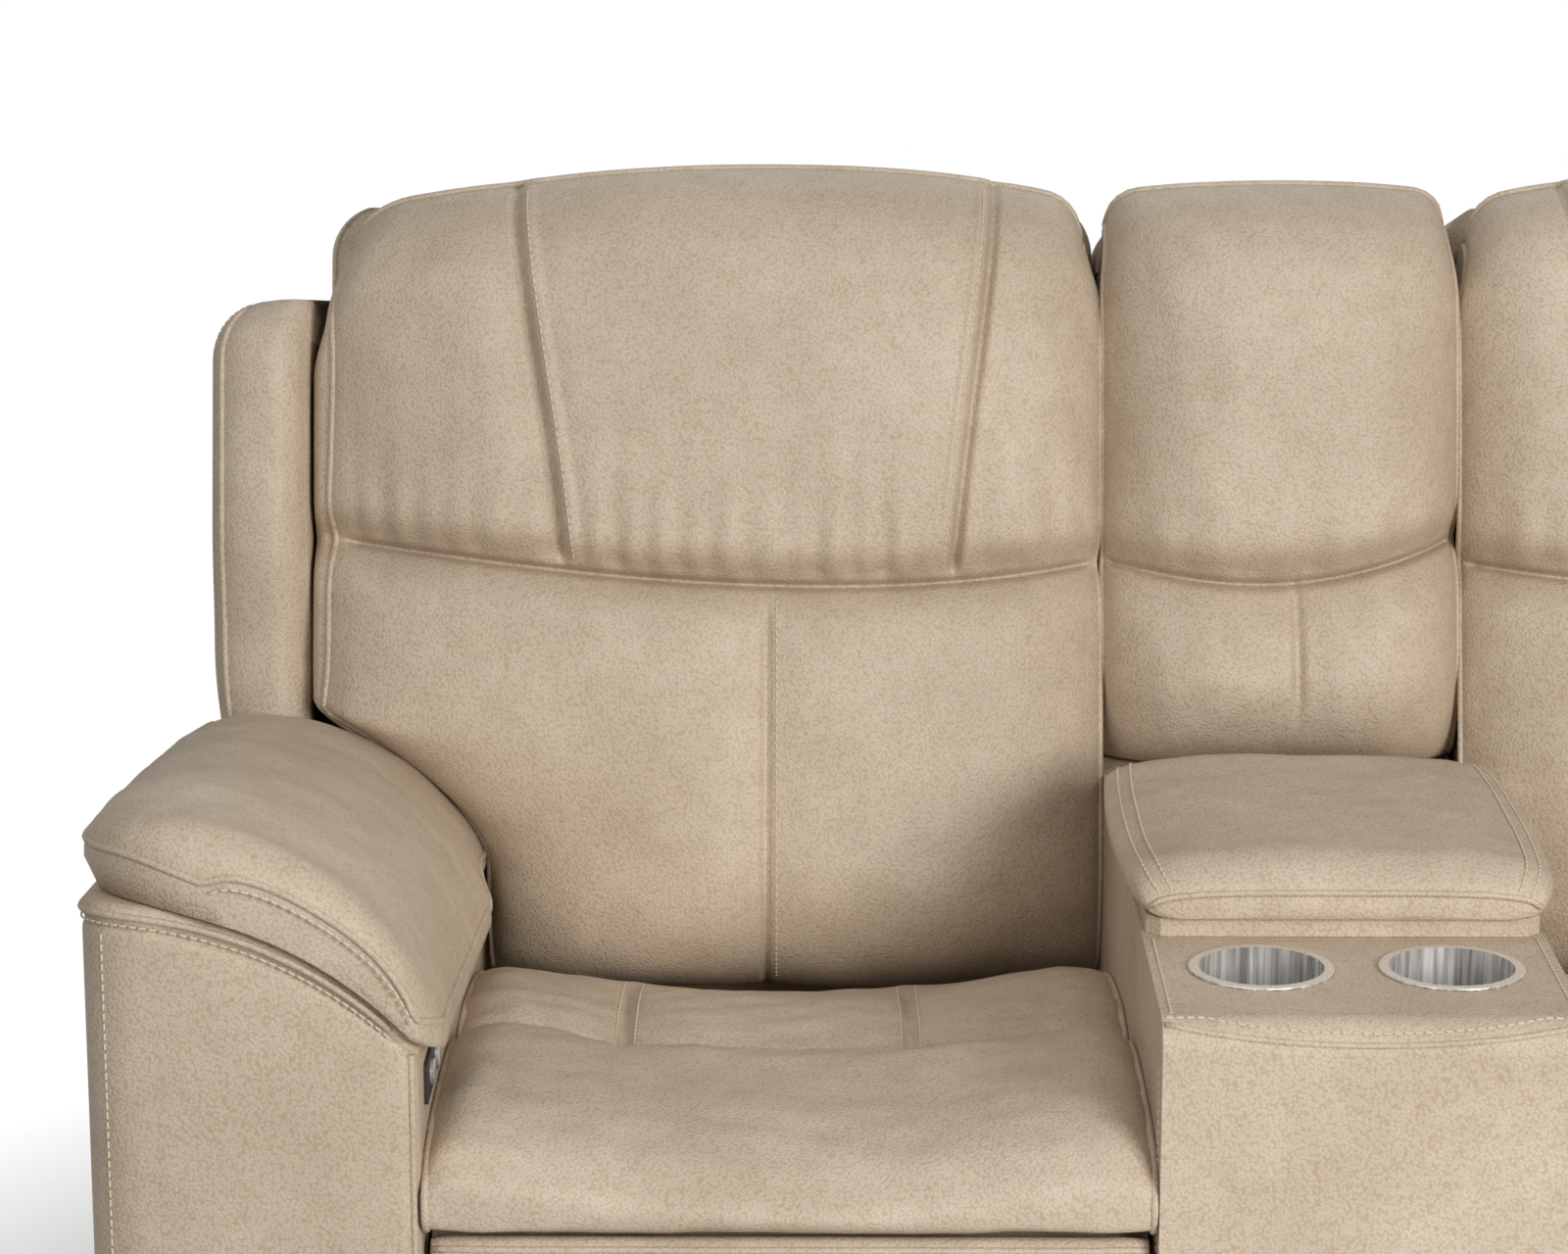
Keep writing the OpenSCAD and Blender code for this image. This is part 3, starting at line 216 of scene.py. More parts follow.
def ramp_node(nt, src, a, b, va=0.0, vb=1.0):
    r = nt.nodes.new("ShaderNodeMapRange")
    for i, value in enumerate((a, b, va, vb)):
        r.inputs[i + 1].default_value = value
    nt.links.new(src, r.inputs[0])
    return r.outputs[0]


def bump_node(nt, height, strength, distance, normal=None):
    b = nt.nodes.new("ShaderNodeBump")
    b.inputs["Strength"].default_value = strength
    b.inputs["Distance"].default_value = distance
    nt.links.new(height, b.inputs["Height"])
    if normal is not None:
        nt.links.new(normal, b.inputs["Normal"])
    return b.outputs[0]


def stretched(nt, coord, scale):
    mp = nt.nodes.new("ShaderNodeMapping")
    mp.inputs["Scale"].default_value = scale
    nt.links.new(coord, mp.inputs["Vector"])
    return mp.outputs[0]


def leather_material(name, light, mid, dark, crease):
    """Light pebbles about 2.4 mm across with creases between them darkened by painted shade, on a cloudy
    ground.
    """
    m, nt, sh, coord = new_material(name)
    warp = noise(nt, coord, 90, 2, 0.5)
    add = nt.nodes.new("ShaderNodeVectorMath")
    add.operation = "MULTIPLY_ADD"
    nt.links.new(warp.outputs["Color"], add.inputs[0])
    add.inputs[1].default_value = (0.0012, 0.0012, 0.0012)
    nt.links.new(coord, add.inputs[2])
    cells = nt.nodes.new("ShaderNodeTexVoronoi")
    cells.feature = "F1"
    cells.inputs["Scale"].default_value = 420
    nt.links.new(add.outputs[0], cells.inputs["Vector"])
    from_centre = cells.outputs["Distance"]
    pebble = ramp_node(nt, from_centre, 0.3, 0.85, 1.0, 0.0)
    fine = noise(nt, coord, 900, 2, 0.6).outputs["Fac"]
    cloud = noise(nt, coord, 7, 4, 0.6).outputs["Fac"]
    blotch = noise(nt, coord, 42, 4, 0.65).outputs["Fac"]
    swell = noise(nt, coord, 34, 3, 0.55).outputs["Fac"]
    tone = mix_rgb(nt, ramp_node(nt, cloud, 0.35, 0.68), mid, light)
    tone = mix_rgb(nt, ramp_node(nt, blotch, 0.36, 0.74, 0.0, 0.3), tone, dark)
    # painted shade: the colour is darkened in the creases between the pebbles
    tone = mix_rgb(nt, ramp_node(nt, from_centre, 0.4, 0.85, 0.0, 0.9), tone, crease, "MULTIPLY")
    nt.links.new(tone, sh.inputs["Base Color"])
    nt.links.new(ramp_node(nt, cloud, 0.3, 0.7, 0.46, 0.56), sh.inputs["Roughness"])
    sh.inputs["Specular IOR Level"].default_value = 0.42
    normal = bump_node(nt, pebble, 0.5, 0.0006)
    normal = bump_node(nt, fine, 0.25, 0.0002, normal)
    normal = bump_node(nt, swell, 0.35, 0.0022, normal)
    nt.links.new(normal, sh.inputs["Normal"])
    return m


def metal_material(name, colour, rough, scale, brushed=False, metallic=1.0):
    """Metal with a fine grain, drawn out into upright streaks where it is brushed; there, faces that look
    up are painted light as a highlight.
    """
    m, nt, sh, coord = new_material(name)
    coord = stretched(nt, coord, (3, 3, 0.12) if brushed else (1, 1, 1))
    grain = noise(nt, coord, scale, 4, 0.6).outputs["Fac"]
    dark = [c * (0.4 if brushed else 0.82) for c in colour[:3]] + [1]
    streak = ramp_node(nt, grain, 0.38, 0.62)
    if brushed:
        # painted highlight: faces that look up are painted light, without the dark streaks
        face = nt.nodes.new("ShaderNodeSeparateXYZ")
        nt.links.new(nt.nodes.new("ShaderNodeNewGeometry").outputs["Normal"], face.inputs[0])
        painted_top_light = nt.nodes.new("ShaderNodeMath")
        painted_top_light.operation = "MAXIMUM"
        nt.links.new(streak, painted_top_light.inputs[0])
        nt.links.new(ramp_node(nt, face.outputs["Z"], 0.15, 0.6, 0.0, 0.85), painted_top_light.inputs[1])
        streak = painted_top_light.outputs[0]
    nt.links.new(mix_rgb(nt, streak, dark, colour), sh.inputs["Base Color"])
    nt.links.new(ramp_node(nt, grain, 0.3, 0.7, rough * 0.8, rough * 1.25), sh.inputs["Roughness"])
    sh.inputs["Metallic"].default_value = metallic
    nt.links.new(bump_node(nt, grain, 0.12, 0.0003), sh.inputs["Normal"])
    return m


def wood_material():
    m, nt, sh, coord = new_material("plywood")
    grain = noise(nt, stretched(nt, coord, (1, 9, 9)), 14, 5, 0.65).outputs["Fac"]
    nt.links.new(mix_rgb(nt, grain, srgb(176, 140, 96), srgb(214, 184, 138)), sh.inputs["Base Color"])
    sh.inputs["Roughness"].default_value = 0.68
    nt.links.new(bump_node(nt, grain, 0.2, 0.0006), sh.inputs["Normal"])
    return m


def speckled_material(name, scale, low, high, rough, relief=None):
    m, nt, sh, coord = new_material(name)
    grain = noise(nt, coord, scale, 2, 0.5).outputs["Fac"]
    nt.links.new(mix_rgb(nt, grain, low, high), sh.inputs["Base Color"])
    sh.inputs["Roughness"].default_value = rough
    if relief:
        nt.links.new(bump_node(nt, grain, 0.2, relief), sh.inputs["Normal"])
    return m


# the last colour is painted shade, multiplied into the creases of the grain
LEATHER = leather_material("leather", srgb(214, 199, 180), srgb(199, 183, 163), srgb(174, 156, 135),
                           (0.83, 0.76, 0.67, 1))
THREAD = speckled_material("thread", 900, srgb(206, 190, 164), srgb(228, 214, 190), 0.6)
LOOK = {
    "leather": LEATHER,
    "steel": metal_material("black_steel", (0.035, 0.035, 0.038, 1), 0.42, 260, metallic=0.35),
    "spring_steel": metal_material("spring_steel", (0.36, 0.36, 0.37, 1), 0.35, 260),
    # the stainless's faces that look up carry a painted highlight
    "stainless": metal_material("brushed_stainless", (0.95, 0.93, 0.9, 1), 0.3, 60, brushed=True,
                                metallic=0.6),
    "wood": wood_material(),
    "black_plastic": speckled_material("black_plastic", 700, (0.018, 0.018, 0.02, 1),
                                       (0.035, 0.035, 0.037, 1), 0.46, 0.0003),
}
SLOT_OF = {s["node"]: s["material_slot"] for s in frame["record"]["subparts"]}
for n, o in NODES.items():
    o.data.materials.clear()
    o.data.materials.append(LOOK[SLOT_OF[n]])


# Meshes

def build(name, verts, faces, mat, body):
    me = bpy.data.meshes.new(name)
    points = [tuple(v) for v in np.asarray(verts, float) / 1000.0]
    me.from_pydata(points, [], [tuple(int(i) for i in f) for f in faces])
    me.materials.append(mat)
    me.polygons.foreach_set("use_smooth", [True] * len(me.polygons))
    me.update()
    o = bpy.data.objects.new(name, me)
    bpy.context.scene.collection.objects.link(o)
    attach(o, body)
    return o


def band(first, second, n):
    """Faces between two rings of n points."""
    return [(first + j, first + (j + 1) % n, second + (j + 1) % n, second + j) for j in range(n)]


def loft(rings, cap=(0.0, 0.0), flip=False):
    """Closed skin over equal rings; each end is closed by shrinking rings raised by cap."""
    R = np.asarray(rings, float)
    k, n, _ = R.shape
    parts = [R.reshape(-1, 3)]
    faces = []
    for i in range(k - 1):
        faces += band(i * n, (i + 1) * n, n)
    count = k * n
    for end, inner, rise in ((0, 1, cap[0]), (k - 1, k - 2, cap[1])):
        ring = R[end]
        c = ring.mean(0)
        away = c - R[inner].mean(0)
        away = away / (np.linalg.norm(away) + 1e-9)
        closing = []
        base = end * n
        for f in (0.9, 0.7, 0.4):
            parts.append(c + (ring - c) * f + away * rise * (1 - f**2))
            closing += band(base, count, n)
            base = count
            count += n
        parts.append((c + away * rise)[None])
        closing += [(base + j, base + (j + 1) % n, count) for j in range(n)]
        count += 1
        faces += [f[::-1] for f in closing] if end == 0 else closing
    if flip:
        faces = [f[::-1] for f in faces]
    return np.vstack(parts), faces


def mirrored(verts, faces, side):
    v = np.array(verts, float)
    if side == "left":
        v[:, 0] *= -1
        faces = [f[::-1] for f in faces]
    return v, faces


def dress(node, mesh, body, side="right"):
    """Puts a leather mesh in the place of a CAD node."""
    v, f = mirrored(*mesh, side)
    o = build(node + "_dressed", v, f, LEATHER, body)
    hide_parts(node)


def side_path(path, side):
    p = np.array(path, float)
    if side == "left":
        p[:, 0] *= -1
    return p


def resample(path, step):
    p = np.asarray(path, float)
    d = np.concatenate([[0], np.cumsum(np.linalg.norm(np.diff(p, axis=0), axis=1))])
    n = max(2, int(round(d[-1] / step)) + 1)
    t = np.linspace(0, d[-1], n)
    return np.stack([np.interp(t, d, p[:, i]) for i in range(3)], 1)


def section(rings, x):
    """The line across lofted rings at x."""
    xs = rings[:, 0, 0]
    i = int(np.clip(np.searchsorted(xs, x), 1, len(xs) - 1))
    w = (x - xs[i - 1]) / (xs[i] - xs[i - 1])
    return rings[i - 1] * (1 - w) + rings[i] * w


def tube_mesh(path, radius, sides=8):
    p = np.asarray(path, float)
    n = len(p)
    tan = np.gradient(p, axis=0)
    tan /= np.linalg.norm(tan, axis=1)[:, None] + 1e-9
    up = np.array([0.0, 0, 1]) if abs(tan[0][2]) < 0.9 else np.array([0, 1.0, 0])
    a = np.cross(tan[0], up)
    a /= np.linalg.norm(a)
    verts, faces = [], []
    for i in range(n):
        a = a - tan[i] * np.dot(a, tan[i])
        a /= np.linalg.norm(a) + 1e-9
        b = np.cross(tan[i], a)
        for k in range(sides):
            w = 2 * math.pi * k / sides
            verts.append(p[i] + radius * (math.cos(w) * a + math.sin(w) * b))
    for i in range(n - 1):
        faces += band(i * sides, (i + 1) * sides, sides)
    faces.append(tuple(range(sides))[::-1])
    faces.append(tuple(range((n - 1) * sides, n * sides)))
    return np.array(verts), faces


class Trim:
    """Collects piping and stitching, one object of each for a piece and its body."""

    def __init__(self):
        self.parts = {}

    def add(self, key, verts, faces):
        vs, fs, count = self.parts.setdefault(key, ([], [], [0]))
        vs.append(verts)
        fs.extend([tuple(i + count[0] for i in f) for f in faces])
        count[0] += len(verts)

    def pipe(self, key, path, radius=3.0):
        self.add((key, "piping"), *tube_mesh(resample(path, PIPE_STEP), radius))

    def stitch(self, key, path):
        p = resample(path, STITCH_PITCH)
        for i in range(len(p) - 1):
            d = p[i + 1] - p[i]
            d = d / (np.linalg.norm(d) + 1e-9)
            a, b = p[i] + d * STITCH_START, p[i] + d * (STITCH_START + STITCH_LEN)
            line = [a, a + (b - a) * 0.25, a + (b - a) * 0.75, b]
            self.add((key, "stitching"), *tube_mesh(line, THREAD_R, 5))

    def make(self):
        for ((name, body), kind), (vs, fs, _) in self.parts.items():
            look, slot = (LEATHER, "leather") if kind == "piping" else (THREAD, None)
            build(f"{name}_{kind}", np.vstack(vs), fs, look, body)


TRIM = Trim()


# Back cushions

CUSHION_T = 198
CUSHION_REAR = 0.3
HEAD_SEAM_V = (745 - BACK_Z) / math.cos(LEAN) - 36
SIDE_STEPS = (0.12, 0.3, 0.5, 0.7, 0.88, 1.0)
BOXED_STEPS = (0.03, 0.08, 0.2, 0.45, 0.75, 1.0)


def back_place(p):
    """From the back's own frame (x, depth, up the lean) to the row frame."""
    p = np.asarray(p, float)
    out = np.empty_like(p)
    out[..., 0] = p[..., 0]
    out[..., 1] = BACK_Y + p[..., 1] * math.cos(LEAN) + p[..., 2] * math.sin(LEAN)
    out[..., 2] = BACK_Z - p[..., 1] * math.sin(LEAN) + p[..., 2] * math.cos(LEAN)
    return out


def flap_x(a0, a1, s):
    """Where a seam of the head stands at s, from a0 at the head seam to a1 near the top."""
    return a0 + (a1 - a0) * ramp(-0.2, 1.15, s - 1)


class BackCushion:
    """Head roll over a lumbar pad, sewn along a curved line, with panels and gathers.

    s runs from 0 at the foot over 1 at the head seam to 2 at the top, u from -1 to 1 across. The
    cushion stands between x0 and x_wide and is narrower by cut at its foot. v0, vs and v1 are the
    heights of foot, head seam and top. xs is the lumbar seam's x, and flaps gives x at both ends of
    the head's two flap seams. crown is the top's rise, arch, corner drop and corner width. Where
    tuck_x is given, a tuck runs up the lumbar pad there."""

    def __init__(self, x0, x_wide, cut, v0, v1, vs, xs, flaps, seed, crown, tuck_x=None):
        self.x0, self.x_wide, self.cut = x0, x_wide, cut
        self.v0, self.v1, self.vs = v0, v1, vs
        self.xs, self.flaps, self.tuck_x = xs, flaps, tuck_x
        self.seed, self.crown = seed, crown

    def creases(self, x, v, s, dv, fade):
        """Depth of the head seam, its gathers, the panel seams and the tuck, below zero inwards."""
        d = -26 * np.exp(-((dv / 17) ** 2)) - 13 * np.exp(-((dv / 3.2) ** 2)) * fade
        # gathers run away from the seam, deeper above it
        gather = comb(x, self.seed, 34) * np.exp(-np.abs(dv - 14) / np.where(dv > 0, 34, 20))
        d = d + np.where(dv > 0, 2.6, 1.2) * gather * fade * np.minimum(1, np.abs(dv) / 10)
        if self.flaps:
            for (a0, a1), sg in zip(self.flaps, (-1, 1)):
                q = (x - flap_x(a0, a1, s)) * sg
                ridge = 4.2 * ramp(-15, -9, q) * (1 - ramp(-2, 1, q))
                d = d + ramp(0.0, 0.06, s - 1) * (-10.5 * bump(2.5, 4, q) + ridge - 8 * bump(8, 24, q))
            q = x - self.xs
            d = d + (1 - ramp(0.9, 0.99, s)) * (-7.5 * bump(0, 3, q) - 9 * bump(0, 26, q))
        if self.tuck_x is not None:
            d = d - 7 * bump(self.tuck_x, 4.5, x) * bump(self.vs - 42, 34, v)
            d = d - 9 * bump(self.tuck_x, 40, x) * bump(self.vs - 40, 60, v)
        return d

    def point(self, s, u0, lift_out=0.0):
        """Points of the cushion's front, lift_out above the leather."""
        s = np.asarray(s, float)
        u0 = np.asarray(u0, float)
        x1 = self.x_wide - self.cut * (1 - np.clip((s - 0.31) / 0.36, 0, 1) ** 1.7)
        xm = (self.x0 + x1) / 2
        hw = (x1 - self.x0) / 2
        shift = (self.xs - xm) / hw
        u = u0 + shift * (1 - u0 * u0)
        vseam = self.vs - 13 + 30 * u0 * u0 + 9 * u0
        peak, arch, corner, width = self.crown
        outer = np.maximum(0, u0) if self.cut else 0 * u0
        corner_drop = corner * (1 - round_end(1 - np.abs(u0), width))
        top = self.v1 + peak - arch * u0 * u0 - 6 * outer**2 - corner_drop
        low = s <= 1
        v = np.where(low, self.v0 + s * (vseam - self.v0), vseam + (s - 1) * (top - vseam))
        dv = v - vseam
        ends = (0.32 + 0.68 * round_end(v - self.v0 + 3, 130)) * (0.3 + 0.7 * round_end(top - v + 3, 90))
        swell = CUSHION_T - 0.043 * v + np.where(low, 10, 11) * np.sin(math.pi * np.where(low, s, s - 1))
        across = 0.56 + 0.44 * np.maximum(0, 1 - np.abs(u0) ** 3.2) ** 0.7
        x = xm + hw * u * (1.0 - 0.035 * ramp(1.75, 2, s) - 0.008 * bump(1, 0.06, s))
        x = x - outer * (8 * ramp(1.1, 1.7, s) + self.box_side(s))
        t = swell * ends * across
        fade = ramp(0, 0.06, 1 - np.abs(u0))
        d = self.creases(x, v, s, dv, fade)
        d = d + 1.5 * waves(x, v, self.seed + 5, 150) * fade
        d = d + 0.55 * waves(x, v * 0.6, self.seed + 9, 48) * fade
        edge = np.exp(-np.abs(1 - np.abs(u0)) * hw / 34)
        d = d + 1.4 * comb(v, self.seed + 3, 46) * edge * fade
        t = np.maximum(20, t + d) + lift_out
        return np.stack([x, -t, v - t * math.tan(LEAN) * self.level(s)], -1)

    def level(self, s):
        """1 where the rings lie level, as at the foot, and 0 where they stand square to the lean."""
        return 1 - ramp(0.72, 1.0, s)

    def box_side(self, s):
        """How far the boxed outer side stands out past its piping."""
        return ramp(0.45, 0.8, s) * (14 - 6 * ramp(1.2, 1.8, s)) if self.cut else 0 * s

    def side(self, edge, s, steps_back, stand_out):
        """Points from an edge of the front to the rear; stand_out gives each one's move in x."""
        slope = math.tan(LEAN) * float(self.level(s))
        out = []
        for k in steps_back:
            y = edge[1] * (1 - k) - CUSHION_REAR * k
            out.append(np.array([edge[0] + stand_out(k), y, edge[2] + (y - edge[1]) * slope]))
        return out

    def rings(self, nu=300, n_low=80, n_high=96):
        us = spread(nu)
        out = []
        for s in np.concatenate([steps(n_low)[:-1], 1 + steps(n_high)]):
            front = self.point(np.full(nu, s), us)
            if self.cut:
                # the boxed side rounds out to the wing's inner face
                bulge = float(self.box_side(s))
                reach = float(ramp(0.45, 0.8, s) * (1 - ramp(1.55, 1.78, s)))
                bulge += max(0, self.x_wide + 2 - front[-1][0] - bulge) * reach
                side_r = self.side(front[-1], s, BOXED_STEPS,
                                   lambda k: bulge * math.sqrt(1 - (1 - min(1, k / 0.25)) ** 2))
            else:
                side_r = self.side(front[-1], s, SIDE_STEPS, lambda k: -2.5 * math.sin(math.pi * k))
            side_l = self.side(front[0], s, SIDE_STEPS[::-1], lambda k: 2.5 * math.sin(math.pi * k))
            rear = [side_r[-1] + (side_l[0] - side_r[-1]) * k for k in (0.2, 0.4, 0.6, 0.8)]
            out.append(np.vstack([front, side_r, rear, side_l]))
        return np.array(out)

    def line(self, s, u, out):
        return back_place(self.point(s, u, out))

    def seam_line(self, s_all, x_all):
        """A line just above the leather, given by its x at each s."""
        us = np.linspace(-1, 1, 401)
        pts = []
        for s, x in zip(s_all, x_all):
            u = float(np.interp(x, self.point(np.full(401, s), us)[:, 0], us))
            pts.append(self.point(s, u, 0.4))
        return back_place(np.array(pts))


def back_cushion(node, side, c, body):
    mesh = loft(c.rings(), cap=(0, 5), flip=True)
    dress(node, (back_place(mesh[0]), mesh[1]), body, side)
    key = (node, body)
    s_all = np.concatenate([np.linspace(0.02, 1, 60), np.linspace(1.0, 2.0, 60)[1:]])
    for e in (-1.0, 1.0):
        u_all = np.full(len(s_all), e)
        TRIM.pipe(key, side_path(c.line(s_all, u_all, 0.8), side))
        inner = c.line(s_all, u_all, -9)
        inner[:, 0] += e * 0.8
        TRIM.stitch(key, side_path(inner, side))
    TRIM.pipe(key, side_path(c.line(np.full(80, 2.0), np.linspace(-1, 1, 80), 0.8), side))
    if c.flaps:
        for (a0, a1), sg in zip(c.flaps, (-1, 1)):
            ss = np.linspace(1.03, 1.97, 70)
            TRIM.stitch(key, side_path(c.seam_line(ss, flap_x(a0, a1, ss) - sg * 6.5), side))
        TRIM.stitch(key, side_path(c.seam_line(np.linspace(0.06, 0.97, 60), [c.xs - 8] * 60), side))


SEAT_BACK_V0 = 74
for side, seed in zip(SIDES, (11, 47)):
    seat_back = BackCushion(BAY_IN, HALF_W - 92, HALF_W - 91 - BAY_OUT, SEAT_BACK_V0, BACK_TOP - 28,
                            HEAD_SEAM_V, BAY_MID + 22, [[272, 233], [575, 622]], seed, (-1, 26, 34, 0.13))
    back_cushion(side + "_back_cushion", side, seat_back, side + "_back")

CONSOLE_BACK_V0 = (DECK_H + 1.5 - BACK_Z) / math.cos(LEAN)
console_back = BackCushion(-(CONSOLE_X - 0.5), CONSOLE_X - 0.5, 0, CONSOLE_BACK_V0, BACK_TOP - 38,
                           HEAD_SEAM_V + 2, 0, None, 83, (-4, 6, 24, 0.18), tuck_x=8)
back_cushion("console_back_cushion", "right", console_back, "base")


# Seat cushions

SEAT_Z0 = 378.3
SEAT_Y1 = 68.0
SEAT_LIP_Y = 432.0
SEAT_LIP_Z = 421.0
TOP_POINTS = 150
# The top's line from the back cushion to the front roll: y and the height there
SEAT_TOP = [[-20, 458], [-90, 469], [-135, 472], [-165, 468], [-188, 463], [-224, 481], [-280, 491],
            [-390, 490]]


def seam_bumps(x, width):
    """1 on the two seams between the panels of a seat or footrest, falling off over width."""
    return bump(PANEL_SEAMS[0], width, x) + bump(PANEL_SEAMS[1], width, x)


def seat_ring(u, seed):
    """One section of the seat cushion from back to front, at u from 0 to 1 across."""
    width = BAY_OUT - BAY_IN
    d = min(u, 1 - u) * width
    x = BAY_IN + u * width
    k = 0.66 + 0.34 * float(round_end(d + 3, 46))
    nose = 1 - (0.5 + 0.5 * float(round_end(d + 6, 50)))
    dish = 26 * (2 * u - 1) ** 2 - 12
    groove = 7.5 * seam_bumps(x, 5) + 5 * seam_bumps(x, 26)

    def top(y, h):
        sewn = groove * ramp(-260, -215, y) * (1 - ramp(20, 64, y))
        return float(SEAT_Z0 + (h - SEAT_Z0) * k + dish - sewn)

    front = -(FRONT_Y + 2)
    chain = [[SEAT_Y1, SEAT_Z0], [SEAT_Y1 + 2, SEAT_Z0 + 24],
             [SEAT_Y1 - 4, top(SEAT_Y1, 428)], [SEAT_Y1 - 26, top(SEAT_Y1, 440)]]
    chain += [[y, top(y, h)] for y, h in SEAT_TOP]
    chain += [[-448 + 8 * nose, top(-448, 480)], [front + 14 + 10 * nose, top(front, 464)],
              [front + 2 + 14 * nose, top(front, 450)], [front + 4 + 14 * nose, SEAT_LIP_Z + 8],
              [front + 16 + 12 * nose, SEAT_LIP_Z]]
    c = smooth_line(chain, TOP_POINTS)
    yy, zz = c[:, 0], c[:, 1]
    xx = np.full_like(yy, x)
    inside = float(ramp(0, 40, d))
    on_top = ramp(SEAT_Z0 + 30, SEAT_Z0 + 60, zz)
    zz = zz + inside * on_top * (1.6 * waves(xx, yy, seed, 130) + 0.6 * waves(xx, yy, seed + 2, 46))
    edge = math.exp(-d / 30.0) if d >= 1 else 0
    zz = zz + on_top * edge * 1.3 * comb(yy, seed + 7, 44)
    # gathers where the top panel meets the roll
    zz = zz + on_top * inside * 1.4 * comb(xx, seed + 4, 40) * np.exp(-np.abs(yy + 190) / 26)
    lip = [[-SEAT_LIP_Y, SEAT_LIP_Z], [-SEAT_LIP_Y, SEAT_LIP_Z - 20], [-SEAT_LIP_Y, SEAT_Z0 + 8]]
    under = [[y, SEAT_Z0] for y in (-SEAT_LIP_Y + 8, -300, -200, -80)]
    p = np.vstack([np.column_stack([yy, zz]), lip, under])
    return np.column_stack([np.full(len(p), x), p])


for side, seed in zip(SIDES, (19, 61)):
    R = np.array([seat_ring(float(t), seed) for t in steps(150, 0.3)])
    dress(side + "_seat_cushion", loft(R, flip=True), "base", side)
    key = (side + "_seat_cushion", "base")
    for i in (0, len(R) - 1):
        TRIM.pipe(key, side_path(R[i][14:TOP_POINTS] + [0, 0, 0.6], side), 3.0)
    for seam in PANEL_SEAMS:
        for off in (-SEAM_GAP, SEAM_GAP):
            line = section(R, seam + off)
            keep = (line[:, 1] < 34) & (line[:, 1] > -190) & (line[:, 2] > 430)
            TRIM.stitch(key, side_path(line[keep] + [0, 0, 0.5], side))


# Arm pads

PAD_Y0, PAD_Y1 = -FRONT_Y - 9.7, 176.0
PAD_LEN = 676
PAD_R = 105
PAD_ARC = 64
PAD_UNDER = 24
PAD_LIFT = 0.75
HEM_OUT_J, HEM_IN_J = 4, 59


def arm_top(x, y):
    """Height of the arm's own top, an arc that falls towards the rear."""
    arc = ARM_H - ARM_R + np.sqrt(np.maximum(0, ARM_R**2 - (x - ARM_TOP_X) ** 2))
    return arc / math.cos(FALL) - (y + FRONT_Y) * math.tan(FALL)


def pad_ring(s, seed):
    """The pad's section at s along the arm: points over its top, then under it."""
    y = PAD_Y0 + s / PAD_LEN * (PAD_Y1 - PAD_Y0)
    k = 0.35 + 0.65 * float(round_end(s + 2, 34))
    e = 0.45 + 0.55 * float(round_end(PAD_LEN - s + 4, 40))
    from_tip = FRONT_Y + y + 10
    corner = math.sqrt(max(0, PAD_R**2 - max(0, PAD_R - from_tip) ** 2))
    xo = min(HALF_W, ARM_OUT - PAD_R + 5 + corner) - 10 * float(ramp(560, PAD_LEN, s))
    xi = ARM_IN - 16 * (1 - 0.95 * float(ramp(480, 590, s))) + 22 * taper(s + 3, 60)
    xm, hw = (xi + xo) / 2, (xo - xi) / 2
    h = 54 * min(k, e) * (1 + 0.12 * float(bump(120, 160, s)) - 0.42 * float(ramp(280, PAD_LEN, s)))
    a = np.radians(np.linspace(0, 180, PAD_ARC))
    x = xm + hw * spow(np.cos(a), 0.62)
    side_band = np.minimum(0.85 * h, 20 - 11 * ramp(60, 170, np.degrees(a)))
    up = side_band + (h - side_band) * spow(np.sin(a), 0.72) + 6 * np.sin(a)
    inside = float(ramp(0, 60, s))
    soft = 1.3 * waves(x, y, seed, 140) + 0.6 * waves(x, y * 0.7, seed + 1, 50)
    up = up + np.sin(a) ** 0.5 * soft * inside
    up = up + 1.2 * comb(np.array(y), seed + 2, 50) * np.exp(-((np.degrees(a) - 165) / 16) ** 2) * inside
    z = arm_top(np.minimum(x, ARM_OUT), y) + PAD_LIFT + up
    upper = np.stack([x, y + 0.2 * up * float(ramp(500, PAD_LEN, s)), z], 1)
    x = xm + hw * np.linspace(-0.93, 0.93, PAD_UNDER)
    lower = np.stack([x, np.full(PAD_UNDER, y), arm_top(np.minimum(x, ARM_OUT), y) + PAD_LIFT], 1)
    return np.vstack([upper, lower])


for side, seed in zip(SIDES, (29, 71)):
    R = np.array([pad_ring(float(s), seed) for s in PAD_LEN * steps(120, 0.42)])
    dress(side + "_arm_pad", loft(R, cap=(5, 3)), "base", side)
    key = (side + "_arm_pad", "base")
    front = R[0][HEM_OUT_J:HEM_IN_J + 1]
    hem = np.vstack([R[::-1][1:-1, HEM_OUT_J], front + [0, -0.6, 0.4], R[1:-1, HEM_IN_J]])
    TRIM.pipe(key, side_path(hem, side), 2.6)
    TRIM.stitch(key, side_path(front[3:-2] + np.array([0, -5.4, -6.5]), side))


# Console lid pad

LID_Y0, LID_Y1 = -292, 49.0
LID_Z0 = DECK_H + 14.6
LID_THICK = 40.0
LID_POINTS = 96
LID_RIGHT_J, LID_LEFT_J = 11, 37


